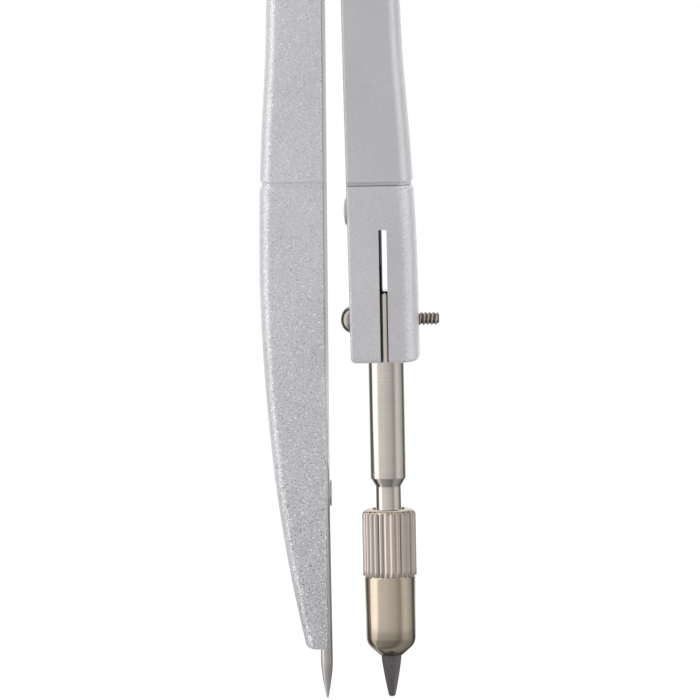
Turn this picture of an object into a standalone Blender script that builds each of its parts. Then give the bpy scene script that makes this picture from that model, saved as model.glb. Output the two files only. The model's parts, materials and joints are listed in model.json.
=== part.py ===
"""Drawing compass with geared legs, a clamped needle and an exchangeable 2 mm lead insert.

Run it with: blender --background --python part.py, or from Blender's text editor.
Units are metres. +Z is up, +X runs from the needle leg to the lead leg, and +Y runs to the back.
The origin is the centre of the flat top of the handle, and the points hang below it.
Heights whose names end in _HEIGHT are measured up from the needle's tip with the legs at rest.
"""

import math

import bmesh
import bpy
from mathutils import Matrix, Vector

# Driving sizes of the whole compass
PIVOT_TO_TIP = 0.1200
REST_HALF_ANGLE = math.radians(0.54)
HALF_GAP_AT_PIVOT = 0.00047
LEG_THICKNESS = 0.0070
KNEE_WIDTH = 0.00660
KNEE_HEIGHT = 0.05175
LEAD_KNEE_DROP = 0.00015
FOOT_HEIGHT = 0.0052

# Clearances between pieces, and how far every cutter runs past what it cuts
RUNNING_GAP = 0.00005
SEAT_GAP = 0.00004
CUT_OVERRUN = 0.0010

# Leg section: corner sizes, the groove at the knee and the rounding of the lower ends
INNER_CORNER = 0.00045
OUTER_ROUND_WIDTH_TOP = 0.00100
OUTER_ROUND_WIDTH_KNEE = 0.00165
OUTER_ROUND_DEPTH = 0.00270
KNEE_GROOVE_DEPTH = 0.00018
KNEE_GROOVE_HALF_WIDTH = 0.00024
KNEE_GROOVE_SLOPE = 0.00013
FOOT_ROUND = 0.00045
FOOT_ROUND_FULLNESS_SHARE = 0.9
BLOCK_FOOT_ROUND = 0.00050

# Width of a leg along its length. Each pair is a share of the stretch's length, downwards, and of KNEE_WIDTH
UPPER_WIDTH_SHARES = [
    (0.00, 0.817),
    (0.37, 0.829),
    (0.59, 0.840),
    (0.74, 0.862),
    (0.80, 0.875),
    (0.86, 0.910),
    (0.92, 0.948),
    (0.97, 0.978),
    (1.00, 0.985),
]
NEEDLE_LEG_LOWER_SHARES = [
    (0.00, 0.988),
    (0.12, 1.000),
    (0.21, 1.003),
    (0.34, 0.972),
    (0.51, 0.891),
    (0.68, 0.760),
    (0.85, 0.570),
    (0.98, 0.375),
    (1.00, 0.345),
]
BLOCK_WIDTH_SHARES = [
    (0.00, 0.988),
    (0.30, 1.018),
    (0.60, 1.022),
    (1.00, 1.018),
]
UPPER_LEVELS = 16
NEEDLE_LEG_LOWER_LEVELS = 18
BLOCK_LEVELS = 5

# Geared head: each leg turns on its own pivot, and cast teeth keep the two legs in step
GEAR_TEETH = 16
GEAR_PRESSURE_ANGLE = math.radians(20.0)
GEAR_ADDENDUM_SHARE = 0.85
GEAR_DEDENDUM_SHARE = 1.15
GEAR_BACKLASH = 0.00008
GEAR_TEETH_BELOW = 1
GEAR_TEETH_ABOVE = 3
FLANK_STEPS = 4
EYE_RADIUS = 0.0030
EYE_THICKNESS = 0.0040
COVER_RADIUS = 0.0048
COVER_SHOULDER_GAP = 0.00015
COVER_EDGE_ROUND = 0.00030
COVER_TOP_HALF_WIDTH = 0.0027
COVER_TOP_RISE = 0.0095
COVER_INNER_SETBACK = 0.00030
WASHER_THICKNESS = 0.00025
WASHER_RADIUS = 0.0026

# Pivot screws and the rivets that hold the covers to the head block
PIVOT_SCREW_RADIUS = 0.0010
PIVOT_HEAD_RADIUS = 0.0019
PIVOT_HEAD_HEIGHT = 0.0009
PIVOT_HEAD_CHAMFER = 0.0003
PIVOT_SLOT_WIDTH = 0.00050
PIVOT_SLOT_DEPTH = 0.00045
RIVET_RADIUS = 0.00060
RIVET_HEAD_RADIUS = 0.00100
RIVET_HEAD_HEIGHT = 0.00030
RIVET_HALF_SPACING = 0.0027
BLOCK_CLEAR_OF_TEETH = 0.00050

# Handle: a spindle pressed into the head block carries a collar, a knurled grip and a flat end cap
SPINDLE_RADIUS = 0.00125
SPINDLE_DEPTH_IN_BLOCK = 0.0040
COLLAR_RADIUS = 0.0024
COLLAR_HEIGHT = 0.0012
COLLAR_CHAMFER = 0.0003
GRIP_RADIUS = 0.00285
GRIP_LENGTH = 0.0200
GRIP_FLUTES = 30
GRIP_FLUTE_DEPTH = 0.00014
GRIP_CHAMFER = 0.00045
CAP_RADIUS = 0.0025
CAP_HEIGHT = 0.0020
CAP_CHAMFER = 0.00040
CAP_ROOF = 0.00080

# Needle, lying in a groove in the inner face of its leg, and the screw whose head grips it
NEEDLE_RADIUS = 0.00060
NEEDLE_SEAT_DEPTH = 0.00042
POINT_PLANE_Y = -0.00078
NEEDLE_LENGTH = 0.0262
NEEDLE_POINT_LENGTH = 0.0040
NEEDLE_POINT_RADIUS = 0.00012
NEEDLE_POINT_FULLNESS_SHARE = 1.1
NEEDLE_GROOVE_GAP = 0.00006
NEEDLE_RISE = 0.0020
NEEDLE_SCREW_HEIGHT = 0.0205
NEEDLE_SCREW_WALL = 0.00049
NEEDLE_SCREW_RADIUS = 0.00070
NEEDLE_SCREW_DEPTH = 0.0032
NEEDLE_HEAD_RADIUS = 0.00132
NEEDLE_HEAD_HEIGHT = 0.00026
NEEDLE_HEAD_CHAMFER = 0.00009
NEEDLE_HEAD_LIFT = 0.00003
SMALL_SLOT_WIDTH = 0.00035
SMALL_SLOT_DEPTH = 0.00014

# Clamp block on the lead leg: a split bore for the insert, closed by a screw behind the bore
INSERT_ACROSS_SHARE = 0.5245
BLOCK_LENGTH = 0.0177
BORE_DEPTH = 0.0096
SLOT_LENGTH = 0.0133
SLOT_WIDTH = 0.00080
TENON_WIDTH = 0.0036
TENON_DEPTH = 0.0038
TENON_LENGTH = 0.0040
SEAM = 0.00006
FIXING_SCREW_DROP = 0.00275
FIXING_SCREW_RADIUS = 0.00060
FIXING_SCREW_REACH = 0.0042
FIXING_HEAD_RADIUS = 0.00134
FIXING_HEAD_RIM = 0.00026
FIXING_HEAD_DOME = 0.00018
CLAMP_SCREW_RISE = 0.00393
CLAMP_SCREW_WALL = 0.00016
CLAMP_SCREW_RADIUS = 0.00067
CLAMP_SCREW_STANDOUT = 0.00199
CLAMP_SCREW_CHAMFER = 0.00015
CLAMP_HEAD_RADIUS = 0.00135
CLAMP_HEAD_RIM = 0.00065
CLAMP_HEAD_DOME = 0.00050
CLAMP_SLOT_DEPTH = 0.00045
CLAMP_EXIT_RADIUS = 0.00088
CLAMP_EXIT_DEPTH = 0.00076

# Lead insert: shank, neck and slit collet in one turned piece
SHANK_RADIUS = 0.00179
SHANK_TOP_SPARE = 0.0025
SHANK_TOP_CHAMFER = 0.00030
SHOULDER_DROP = 0.00083
NECK_RADIUS = 0.00127
NECK_BARE_LENGTH = 0.00232
THREAD_RADIUS = 0.00150
THREAD_TOP_DEPTH = 0.00155
THREAD_LENGTH = 0.0052
JAW_RADIUS = 0.00142
JAW_CONE_LENGTH = 0.0012
JAW_SETBACK = 0.00112
JAW_END_RADIUS = 0.00122
JAW_SLIT = 0.00030
JAW_ROOT = 0.0006
JAW_SEAT_STEP = 0.00013

# Clamping sleeve, knurled above and smooth below, with a tapered nose
SLEEVE_TOP_RADIUS = 0.0020
SLEEVE_SHOULDER_DROP = 0.00060
SLEEVE_SHOULDER_BEND = 0.00015
KNURL_RADIUS = 0.00268
KNURL_DEPTH = 0.00013
KNURL_FLUTES = 27
KNURL_LENGTH = 0.0061
KNURL_END_CHAMFER = 0.00010
SLEEVE_BODY_RADIUS = 0.00256
SLEEVE_BODY_END_RADIUS = 0.00247
SLEEVE_BODY_LENGTH = 0.0062
NOSE_BEND_RADIUS = 0.00145
NOSE_TURN = math.radians(48.0)
NOSE_RADIUS = 0.00118
SLEEVE_MOUTH_DEPTH = 0.00050
SLEEVE_MOUTH_FLARE = 0.00012

# Lead
LEAD_RADIUS = 0.00100
LEAD_TIP_HEIGHT = 0.00007
LEAD_REACH = 0.00425
LEAD_TIP_RADIUS = 0.00036
LEAD_TIP_ROUND = 0.00010
LEAD_CONE_LENGTH = 0.0036
LEAD_LENGTH = 0.0195
LEAD_BORE_SPARE = 0.0035

# Facets
ROUND_SEGMENTS = 32
SMALL_SEGMENTS = 20
CORNER_STEPS = 3
OUTER_ROUND_STEPS = 5
POINT_STEPS = 6
DOME_STEPS = 4
MERGE_DISTANCE = 1e-7
SMOOTH_BELOW = math.radians(35)
FLAT_WITHIN = math.radians(1)
ROUNDED_ABOVE = math.radians(60)


def inner_face(drop):
    """Distance of a leg's inner face from the centre plane, at a drop below the pivots."""
    return HALF_GAP_AT_PIVOT + drop * math.tan(REST_HALF_ANGLE)


# Places that follow from the sizes above
PIVOT_HALF_SPACING = HALF_GAP_AT_PIVOT + KNEE_WIDTH * UPPER_WIDTH_SHARES[0][1] / 2
HEAD_HALF_THICKNESS = LEG_THICKNESS / 2
EYE_HALF = EYE_THICKNESS / 2
COVER_INNER_Y = EYE_HALF + WASHER_THICKNESS + 2 * RUNNING_GAP
COVER_THICKNESS = HEAD_HALF_THICKNESS - COVER_INNER_Y
COLLAR_BASE_RISE = COVER_TOP_RISE + SEAT_GAP
GRIP_BASE_RISE = COLLAR_BASE_RISE + COLLAR_HEIGHT + SEAT_GAP
CAP_BASE_RISE = GRIP_BASE_RISE + GRIP_LENGTH + SEAT_GAP
PIVOT_TO_TOP = CAP_BASE_RISE + CAP_HEIGHT
PIVOT_Z = -PIVOT_TO_TOP
TIP_Z = PIVOT_Z - PIVOT_TO_TIP
GEAR_MODULE = 2 * PIVOT_HALF_SPACING / GEAR_TEETH
GEAR_TIP_RADIUS = PIVOT_HALF_SPACING + GEAR_ADDENDUM_SHARE * GEAR_MODULE
GEAR_ROOT_RADIUS = PIVOT_HALF_SPACING - GEAR_DEDENDUM_SHARE * GEAR_MODULE
NEEDLE_X = -inner_face(PIVOT_TO_TIP - NEEDLE_SCREW_HEIGHT) - NEEDLE_SEAT_DEPTH
NEEDLE_SCREW_Y = POINT_PLANE_Y + NEEDLE_RADIUS + NEEDLE_SCREW_WALL + NEEDLE_SCREW_RADIUS
LEAD_KNEE_HEIGHT = KNEE_HEIGHT - LEAD_KNEE_DROP
BLOCK_FOOT_HEIGHT = LEAD_KNEE_HEIGHT - BLOCK_LENGTH
BLOCK_MIDDLE_DROP = PIVOT_TO_TIP - LEAD_KNEE_HEIGHT + BLOCK_LENGTH / 2
INSERT_X = inner_face(BLOCK_MIDDLE_DROP) + KNEE_WIDTH * INSERT_ACROSS_SHARE
BORE_TOP_HEIGHT = BLOCK_FOOT_HEIGHT + BORE_DEPTH
SLOT_TOP_HEIGHT = BLOCK_FOOT_HEIGHT + SLOT_LENGTH
CLAMP_SCREW_HEIGHT = BLOCK_FOOT_HEIGHT + CLAMP_SCREW_RISE
CLAMP_SCREW_Y = POINT_PLANE_Y + SHANK_RADIUS + RUNNING_GAP + CLAMP_SCREW_WALL + CLAMP_SCREW_RADIUS
FIXING_SCREW_HEIGHT = LEAD_KNEE_HEIGHT - FIXING_SCREW_DROP
NOSE_HEIGHT = LEAD_TIP_HEIGHT + LEAD_REACH
NOSE_BEND_END_RADIUS = SLEEVE_BODY_END_RADIUS - NOSE_BEND_RADIUS * (1 - math.cos(NOSE_TURN))
NOSE_BEND_END_HEIGHT = NOSE_HEIGHT + (NOSE_BEND_END_RADIUS - NOSE_RADIUS) / math.tan(NOSE_TURN)
SLEEVE_BODY_END_HEIGHT = NOSE_BEND_END_HEIGHT + NOSE_BEND_RADIUS * math.sin(NOSE_TURN)
KNURL_END_HEIGHT = SLEEVE_BODY_END_HEIGHT + SLEEVE_BODY_LENGTH
SLEEVE_TOP_HEIGHT = KNURL_END_HEIGHT + KNURL_LENGTH + SLEEVE_SHOULDER_DROP
NECK_TOP_HEIGHT = SLEEVE_TOP_HEIGHT + NECK_BARE_LENGTH
SHANK_TOP_HEIGHT = BORE_TOP_HEIGHT - SHANK_TOP_SPARE
THREAD_TOP_HEIGHT = SLEEVE_TOP_HEIGHT - THREAD_TOP_DEPTH
THREAD_END_HEIGHT = THREAD_TOP_HEIGHT - THREAD_LENGTH
JAW_END_HEIGHT = NOSE_HEIGHT + JAW_SETBACK
JAW_CONE_HEIGHT = JAW_END_HEIGHT + JAW_CONE_LENGTH

UP = Matrix.Identity(4)
ALONG_X = Matrix.Rotation(math.pi / 2, 4, "Y")
AGAINST_X = Matrix.Rotation(-math.pi / 2, 4, "Y")
TOWARDS_FRONT = Matrix.Rotation(math.pi / 2, 4, "X")
NEEDLE_SIDE = -1
LEAD_SIDE = 1


def clear_scene():
    for obj in list(bpy.data.objects):
        bpy.data.objects.remove(obj, do_unlink=True)


def make_collection(name):
    collection = bpy.data.collections.new(name)
    bpy.context.scene.collection.children.link(collection)
    return collection


clear_scene()
PARTS = make_collection("drawing_compass")
CUTTERS = make_collection("cutters")
CUTTERS.hide_render = True


def make_material(name, colour, roughness, metallic):
    material = bpy.data.materials.new(name)
    material.use_nodes = True
    shader = material.node_tree.nodes["Principled BSDF"]
    shader.inputs["Base Color"].default_value = (*colour, 1.0)
    shader.inputs["Roughness"].default_value = roughness
    shader.inputs["Metallic"].default_value = metallic
    return material


SILVER_PAINT = make_material("silver_paint", (0.50, 0.49, 0.51), 0.45, 0.6)
NICKEL = make_material("nickel_plate", (0.66, 0.61, 0.55), 0.18, 1.0)
STEEL = make_material("screw_steel", (0.33, 0.31, 0.29), 0.30, 1.0)
NEEDLE_STEEL = make_material("needle_steel", (0.62, 0.60, 0.57), 0.20, 1.0)
GRAPHITE = make_material("graphite", (0.09, 0.085, 0.09), 0.45, 0.2)
NYLON = make_material("washer_nylon", (0.75, 0.74, 0.70), 0.55, 0.0)


def height(above_tip):
    """World z of a height above the needle's tip."""
    return TIP_Z + above_tip


def shade_round(mesh):
    mesh.shade_smooth()
    mesh.set_sharp_from_angle(angle=SMOOTH_BELOW)


def add_object(name, mesh, material, world, parent=None, collection=None):
    """Link a mesh under a name, at a world matrix, as a child of an empty where one is given."""
    obj = bpy.data.objects.new(name, mesh)
    (collection or PARTS).objects.link(obj)
    if material is not None:
        mesh.materials.append(material)
        shade_round(mesh)
    if parent is not None:
        obj.parent = parent
        obj.matrix_basis = parent.matrix_basis.inverted() @ world
    else:
        obj.matrix_basis = world
    return obj


def add_empty(name, location):
    empty = bpy.data.objects.new(name, None)
    empty.empty_display_size = COVER_RADIUS
    PARTS.objects.link(empty)
    empty.matrix_basis = Matrix.Translation(location)
    return empty


def mesh_of(bm, name):
    bmesh.ops.recalc_face_normals(bm, faces=bm.faces)
    mesh = bpy.data.meshes.new(name)
    bm.to_mesh(mesh)
    bm.free()
    return mesh


def as_cutter(obj):
    for collection in list(obj.users_collection):
        collection.objects.unlink(obj)
    CUTTERS.objects.link(obj)
    obj.hide_render = True
    obj.display_type = "WIRE"
    return obj


def boolean(target, tool, operation):
    modifier = target.modifiers.new(operation.lower() + "_" + tool.name, "BOOLEAN")
    modifier.operation = operation
    modifier.solver = "EXACT"
    modifier.object = as_cutter(tool)
    return target


def cut(target, tool):
    return boolean(target, tool, "DIFFERENCE")


def join(target, tool):
    return boolean(target, tool, "UNION")


def turned(name, profile, world, material=None, parent=None, segments=ROUND_SEGMENTS):
    """A turned piece about world's Z. The profile is (radius, z) pairs from the top down its outer side."""
    mesh = bpy.data.meshes.new(name)
    points = [(radius, 0, z) for radius, z in profile]
    edges = [(i, i + 1) for i in range(len(points) - 1)]
    mesh.from_pydata(points, edges, [])
    obj = add_object(name, mesh, material, world, parent)
    screw = obj.modifiers.new("turn", "SCREW")
    screw.steps = segments
    screw.render_steps = segments
    screw.use_merge_vertices = True
    screw.merge_threshold = MERGE_DISTANCE
    screw.use_smooth_shade = material is not None
    return obj


def tube(name, outer, inner, world, material=None, parent=None, segments=ROUND_SEGMENTS):
    """A turned piece with a through bore: its outer side from the top down, then the bore upwards."""
    return turned(name, outer + inner + outer[:1], world, material, parent, segments)


def rod_cutter(name, radius, start, length, turn, segments=SMALL_SEGMENTS):
    """A round cutter that starts at a point and runs along the turned Z axis."""
    bm = bmesh.new()
    bmesh.ops.create_cone(
        bm, cap_ends=True, segments=segments, radius1=radius, radius2=radius, depth=length
    )
    bmesh.ops.translate(bm, verts=bm.verts, vec=(0, 0, length / 2))
    return add_object(name, mesh_of(bm, name), None, Matrix.Translation(start) @ turn)


def box_cutter(name, low, high):
    low = Vector(low)
    high = Vector(high)
    bm = bmesh.new()
    bmesh.ops.create_cube(bm, size=1)
    bmesh.ops.scale(bm, verts=bm.verts, vec=high - low)
    return add_object(name, mesh_of(bm, name), None, Matrix.Translation((low + high) / 2))


def plate(name, outline, half_thickness, world, material=None, parent=None, edge_round=0.0):
    """A flat piece with its outline in x and z and its thickness along y, as a mesh that can be cut."""
    curve = bpy.data.curves.new(name, "CURVE")
    curve.dimensions = "2D"
    curve.fill_mode = "BOTH"
    curve.extrude = half_thickness
    spline = curve.splines.new("POLY")
    spline.points.add(len(outline) - 1)
    for point, (x, z) in zip(spline.points, outline):
        point.co = (x, z, 0, 1)
    spline.use_cyclic_u = True
    flat = bpy.data.objects.new(name + "_outline", curve)
    PARTS.objects.link(flat)
    evaluated = flat.evaluated_get(bpy.context.evaluated_depsgraph_get())
    bm = bmesh.new()
    bm.from_mesh(bpy.data.meshes.new_from_object(evaluated))
    bpy.data.objects.remove(flat)
    bmesh.ops.remove_doubles(bm, verts=bm.verts, dist=MERGE_DISTANCE)
    bmesh.ops.dissolve_limit(bm, angle_limit=FLAT_WITHIN, verts=bm.verts, edges=bm.edges)
    obj = add_object(name, mesh_of(bm, name), material, world @ TOWARDS_FRONT, parent)
    if edge_round > 0:
        bevel = obj.modifiers.new("edge_round", "BEVEL")
        bevel.width = edge_round
        bevel.segments = 2
        bevel.limit_method = "ANGLE"
        bevel.angle_limit = ROUNDED_ABOVE
    return obj


def loft(name, rings, world, material=None, parent=None, closed=False):
    """Bridge rings of equal point counts. The ends are capped, or the last ring meets the first."""
    bm = bmesh.new()
    levels = [[bm.verts.new(point) for point in ring] for ring in rings]
    pairs = list(zip(levels, levels[1:]))
    if closed:
        pairs.append((levels[-1], levels[0]))
    for upper, lower in pairs:
        for i in range(len(upper)):
            j = (i + 1) % len(upper)
            bm.faces.new((upper[i], upper[j], lower[j], lower[i]))
    if not closed:
        bm.faces.new(levels[0])
        bm.faces.new(levels[-1])
    return add_object(name, mesh_of(bm, name), material, world, parent)


def smooth_share(table, position):
    """Value at a position along a table of (position, value) pairs, on a smooth curve through them."""
    last = len(table) - 1
    i = max(k for k in range(last) if table[k][0] <= position)
    (x0, y0), (x1, y1) = table[i], table[i + 1]
    before = table[max(i - 1, 0)]
    after = table[min(i + 2, last)]
    slope0 = (y1 - before[1]) / (x1 - before[0])
    slope1 = (after[1] - y0) / (after[0] - x0)
    step = x1 - x0
    t = (position - x0) / step
    return (
        (2 * t**3 - 3 * t**2 + 1) * y0
        + (t**3 - 2 * t**2 + t) * step * slope0
        + (-2 * t**3 + 3 * t**2) * y1
        + (t**3 - t**2) * step * slope1
    )


def arc(centre, radii, start, end, steps):
    """Points of an elliptical arc, with angles in degrees, ends included."""
    turns = [math.radians(start + (end - start) * i / steps) for i in range(steps + 1)]
    return [(centre[0] + radii[0] * math.cos(t), centre[1] + radii[1] * math.sin(t)) for t in turns]


def leg_section(width, round_width, inset, inner_inset):
    """Outline across a leg, from its inner face outwards: small inner corners and a full outer side."""
    half = HEAD_HALF_THICKNESS - inset
    corner = INNER_CORNER
    near = inner_inset + corner
    far = width - inset - round_width
    deep = OUTER_ROUND_DEPTH
    return (
        arc((near, corner - half), (corner, corner), 180, 270, CORNER_STEPS)
        + arc((far, deep - half), (round_width, deep), 270, 360, OUTER_ROUND_STEPS)
        + arc((far, half - deep), (round_width, deep), 0, 90, OUTER_ROUND_STEPS)
        + arc((near, half - corner), (corner, corner), 90, 180, CORNER_STEPS)
    )


def leg_ring(side, drop, width, round_width, inset, inner_inset, pivot_x):
    """A leg section placed at a drop below the pivot, as points relative to that pivot."""
    start = inner_face(drop)
    return [
        (side * (start + x) - pivot_x, y, -drop)
        for x, y in leg_section(width, round_width, inset, inner_inset)
    ]


def stretch_levels(top, bottom, count):
    """Evenly spaced (drop, share of the stretch) pairs from top to bottom."""
    return [(top + (bottom - top) * i / count, i / count) for i in range(count + 1)]


def leg_rings(side, pivot_x, top, bottom, count, shares, rounds, start_groove, end_groove, foot_round):
    """Rings of one stretch of a leg, with the knee groove or a rounded foot at its ends.

    The groove runs round all but the inner face. A foot is rounded all round.
    """
    groove = KNEE_GROOVE_HALF_WIDTH + KNEE_GROOVE_SLOPE
    groove_side = (
        (0.0, KNEE_GROOVE_DEPTH),
        (KNEE_GROOVE_HALF_WIDTH, KNEE_GROOVE_DEPTH),
        (groove, 0.0),
    )
    insets = {}
    foot_insets = {}
    levels = []
    for drop, share in stretch_levels(top, bottom, count):
        if start_groove and drop < top + groove:
            continue
        if end_groove and drop > bottom - groove:
            continue
        if foot_round and drop > bottom - foot_round:
            continue
        levels.append((drop, share))
    span = bottom - top
    if start_groove:
        for drop, inset in groove_side:
            levels.append((top + drop, drop / span))
            insets[top + drop] = inset
    if end_groove:
        for drop, inset in groove_side:
            levels.append((bottom - drop, 1 - drop / span))
            insets[bottom - drop] = inset
    if foot_round:
        for step in range(CORNER_STEPS + 1):
            turn = math.pi / 2 * step / CORNER_STEPS
            drop = bottom - foot_round * (1 - math.sin(turn))
            levels.append((drop, min(1.0, (drop - top) / span)))
            insets[drop] = foot_round * (1 - math.cos(turn)) * FOOT_ROUND_FULLNESS_SHARE
            foot_insets[drop] = insets[drop]
    rings = []
    for drop, share in sorted(levels):
        width = KNEE_WIDTH * smooth_share(shares, share)
        round_width = rounds[0] + (rounds[1] - rounds[0]) * share
        inset = insets.get(drop, 0.0)
        inner_inset = foot_insets.get(drop, 0.0)
        rings.append(
            leg_ring(side, drop, width, round_width - inset / 2, inset, inner_inset, pivot_x)
        )
    return rings


def gear_sector_outline(first_tooth, last_tooth, phase):
    """Outline of a leg's eye about its pivot: involute teeth where the legs mesh, plain and round elsewhere.

    Angles run anticlockwise from +X. phase turns the teeth, by a share of a tooth pitch.
    """
    pitch_angle = 2 * math.pi / GEAR_TEETH
    base_radius = PIVOT_HALF_SPACING * math.cos(GEAR_PRESSURE_ANGLE)
    involute_at_pitch = math.tan(GEAR_PRESSURE_ANGLE) - GEAR_PRESSURE_ANGLE
    tooth_half = math.pi / 2 / GEAR_TEETH - GEAR_BACKLASH / 4 / PIVOT_HALF_SPACING

    def flank_half_angle(radius):
        if radius <= base_radius:
            return tooth_half + involute_at_pitch
        pressure = math.acos(base_radius / radius)
        return tooth_half + involute_at_pitch - (math.tan(pressure) - pressure)

    flank_start = max(base_radius, GEAR_ROOT_RADIUS)
    flank = [
        flank_start + (GEAR_TIP_RADIUS - flank_start) * i / FLANK_STEPS
        for i in range(FLANK_STEPS + 1)
    ]
    points = []
    for tooth in range(first_tooth, last_tooth + 1):
        middle = (tooth + phase) * pitch_angle
        points.append((GEAR_ROOT_RADIUS, middle - flank_half_angle(flank_start)))
        points += [(radius, middle - flank_half_angle(radius)) for radius in flank]
        points += [(radius, middle + flank_half_angle(radius)) for radius in reversed(flank)]
        points.append((GEAR_ROOT_RADIUS, middle + flank_half_angle(flank_start)))
    start = (last_tooth + phase + 0.5) * pitch_angle
    end = (first_tooth + phase - 0.5) * pitch_angle + 2 * math.pi
    plain_steps = ROUND_SEGMENTS - SMALL_SEGMENTS // 2
    points += [
        (EYE_RADIUS, start + (end - start) * i / plain_steps) for i in range(plain_steps + 1)
    ]
    return [(radius * math.cos(angle), radius * math.sin(angle)) for radius, angle in points]


def cover_outline():
    """Outline of a head cover about the middle of the pivots: two round ends drawn up to the handle."""
    corner = Vector((COVER_TOP_HALF_WIDTH, COVER_TOP_RISE))
    centre = Vector((PIVOT_HALF_SPACING, 0))
    towards = corner - centre
    tangent = math.atan2(towards.y, towards.x) - math.acos(COVER_RADIUS / towards.length)
    cusp = -math.pi + math.acos(PIVOT_HALF_SPACING / COVER_RADIUS)
    steps = ROUND_SEGMENTS - CORNER_STEPS
    right = []
    for i in range(steps + 1):
        turn = cusp + (tangent - cusp) * i / steps
        right.append((centre.x + COVER_RADIUS * math.cos(turn), COVER_RADIUS * math.sin(turn)))
    right.append((corner.x, corner.y))
    left = [(-x, z) for x, z in reversed(right[1:])]
    return right + left


def washer(name, pivot_x, side_y, parent):
    middle = side_y * (EYE_HALF + RUNNING_GAP + WASHER_THICKNESS / 2)
    half = WASHER_THICKNESS / 2
    bore = PIVOT_SCREW_RADIUS + RUNNING_GAP
    world = Matrix.Translation((pivot_x, middle, PIVOT_Z)) @ TOWARDS_FRONT
    return tube(
        name,
        [(bore, half), (WASHER_RADIUS, half), (WASHER_RADIUS, -half), (bore, -half)],
        [],
        world,
        NYLON,
        parent,
        SMALL_SEGMENTS,
    )


def slotted_head_cut(screw, name, centre, radius, slot_width, slot_depth, direction):
    """Cut a screwdriver slot across a head. centre is on the head's top, and direction points out of it."""
    reach = radius + CUT_OVERRUN
    half = slot_width / 2
    depth = [abs(value) * slot_depth for value in direction]
    over = [abs(value) * CUT_OVERRUN for value in direction]
    low = [c - (d if v > 0 else o) for c, d, o, v in zip(centre, depth, over, direction)]
    high = [c + (o if v > 0 else d) for c, d, o, v in zip(centre, depth, over, direction)]
    across = 1 if abs(direction[0]) > 0 else 0
    low[across] -= half
    high[across] += half
    low[2] -= reach
    high[2] += reach
    return cut(screw, box_cutter(name, low, high))


def dome(radius, rise, steps):
    """Profile of a round head from its crown down to its rim, above z = 0."""
    ball = (radius**2 + rise**2) / (2 * rise)
    half = math.asin(min(1.0, radius / ball))
    turns = [half * i / steps for i in range(steps + 1)]
    return [(ball * math.sin(t), rise - ball * (1 - math.cos(t))) for t in turns]


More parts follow.
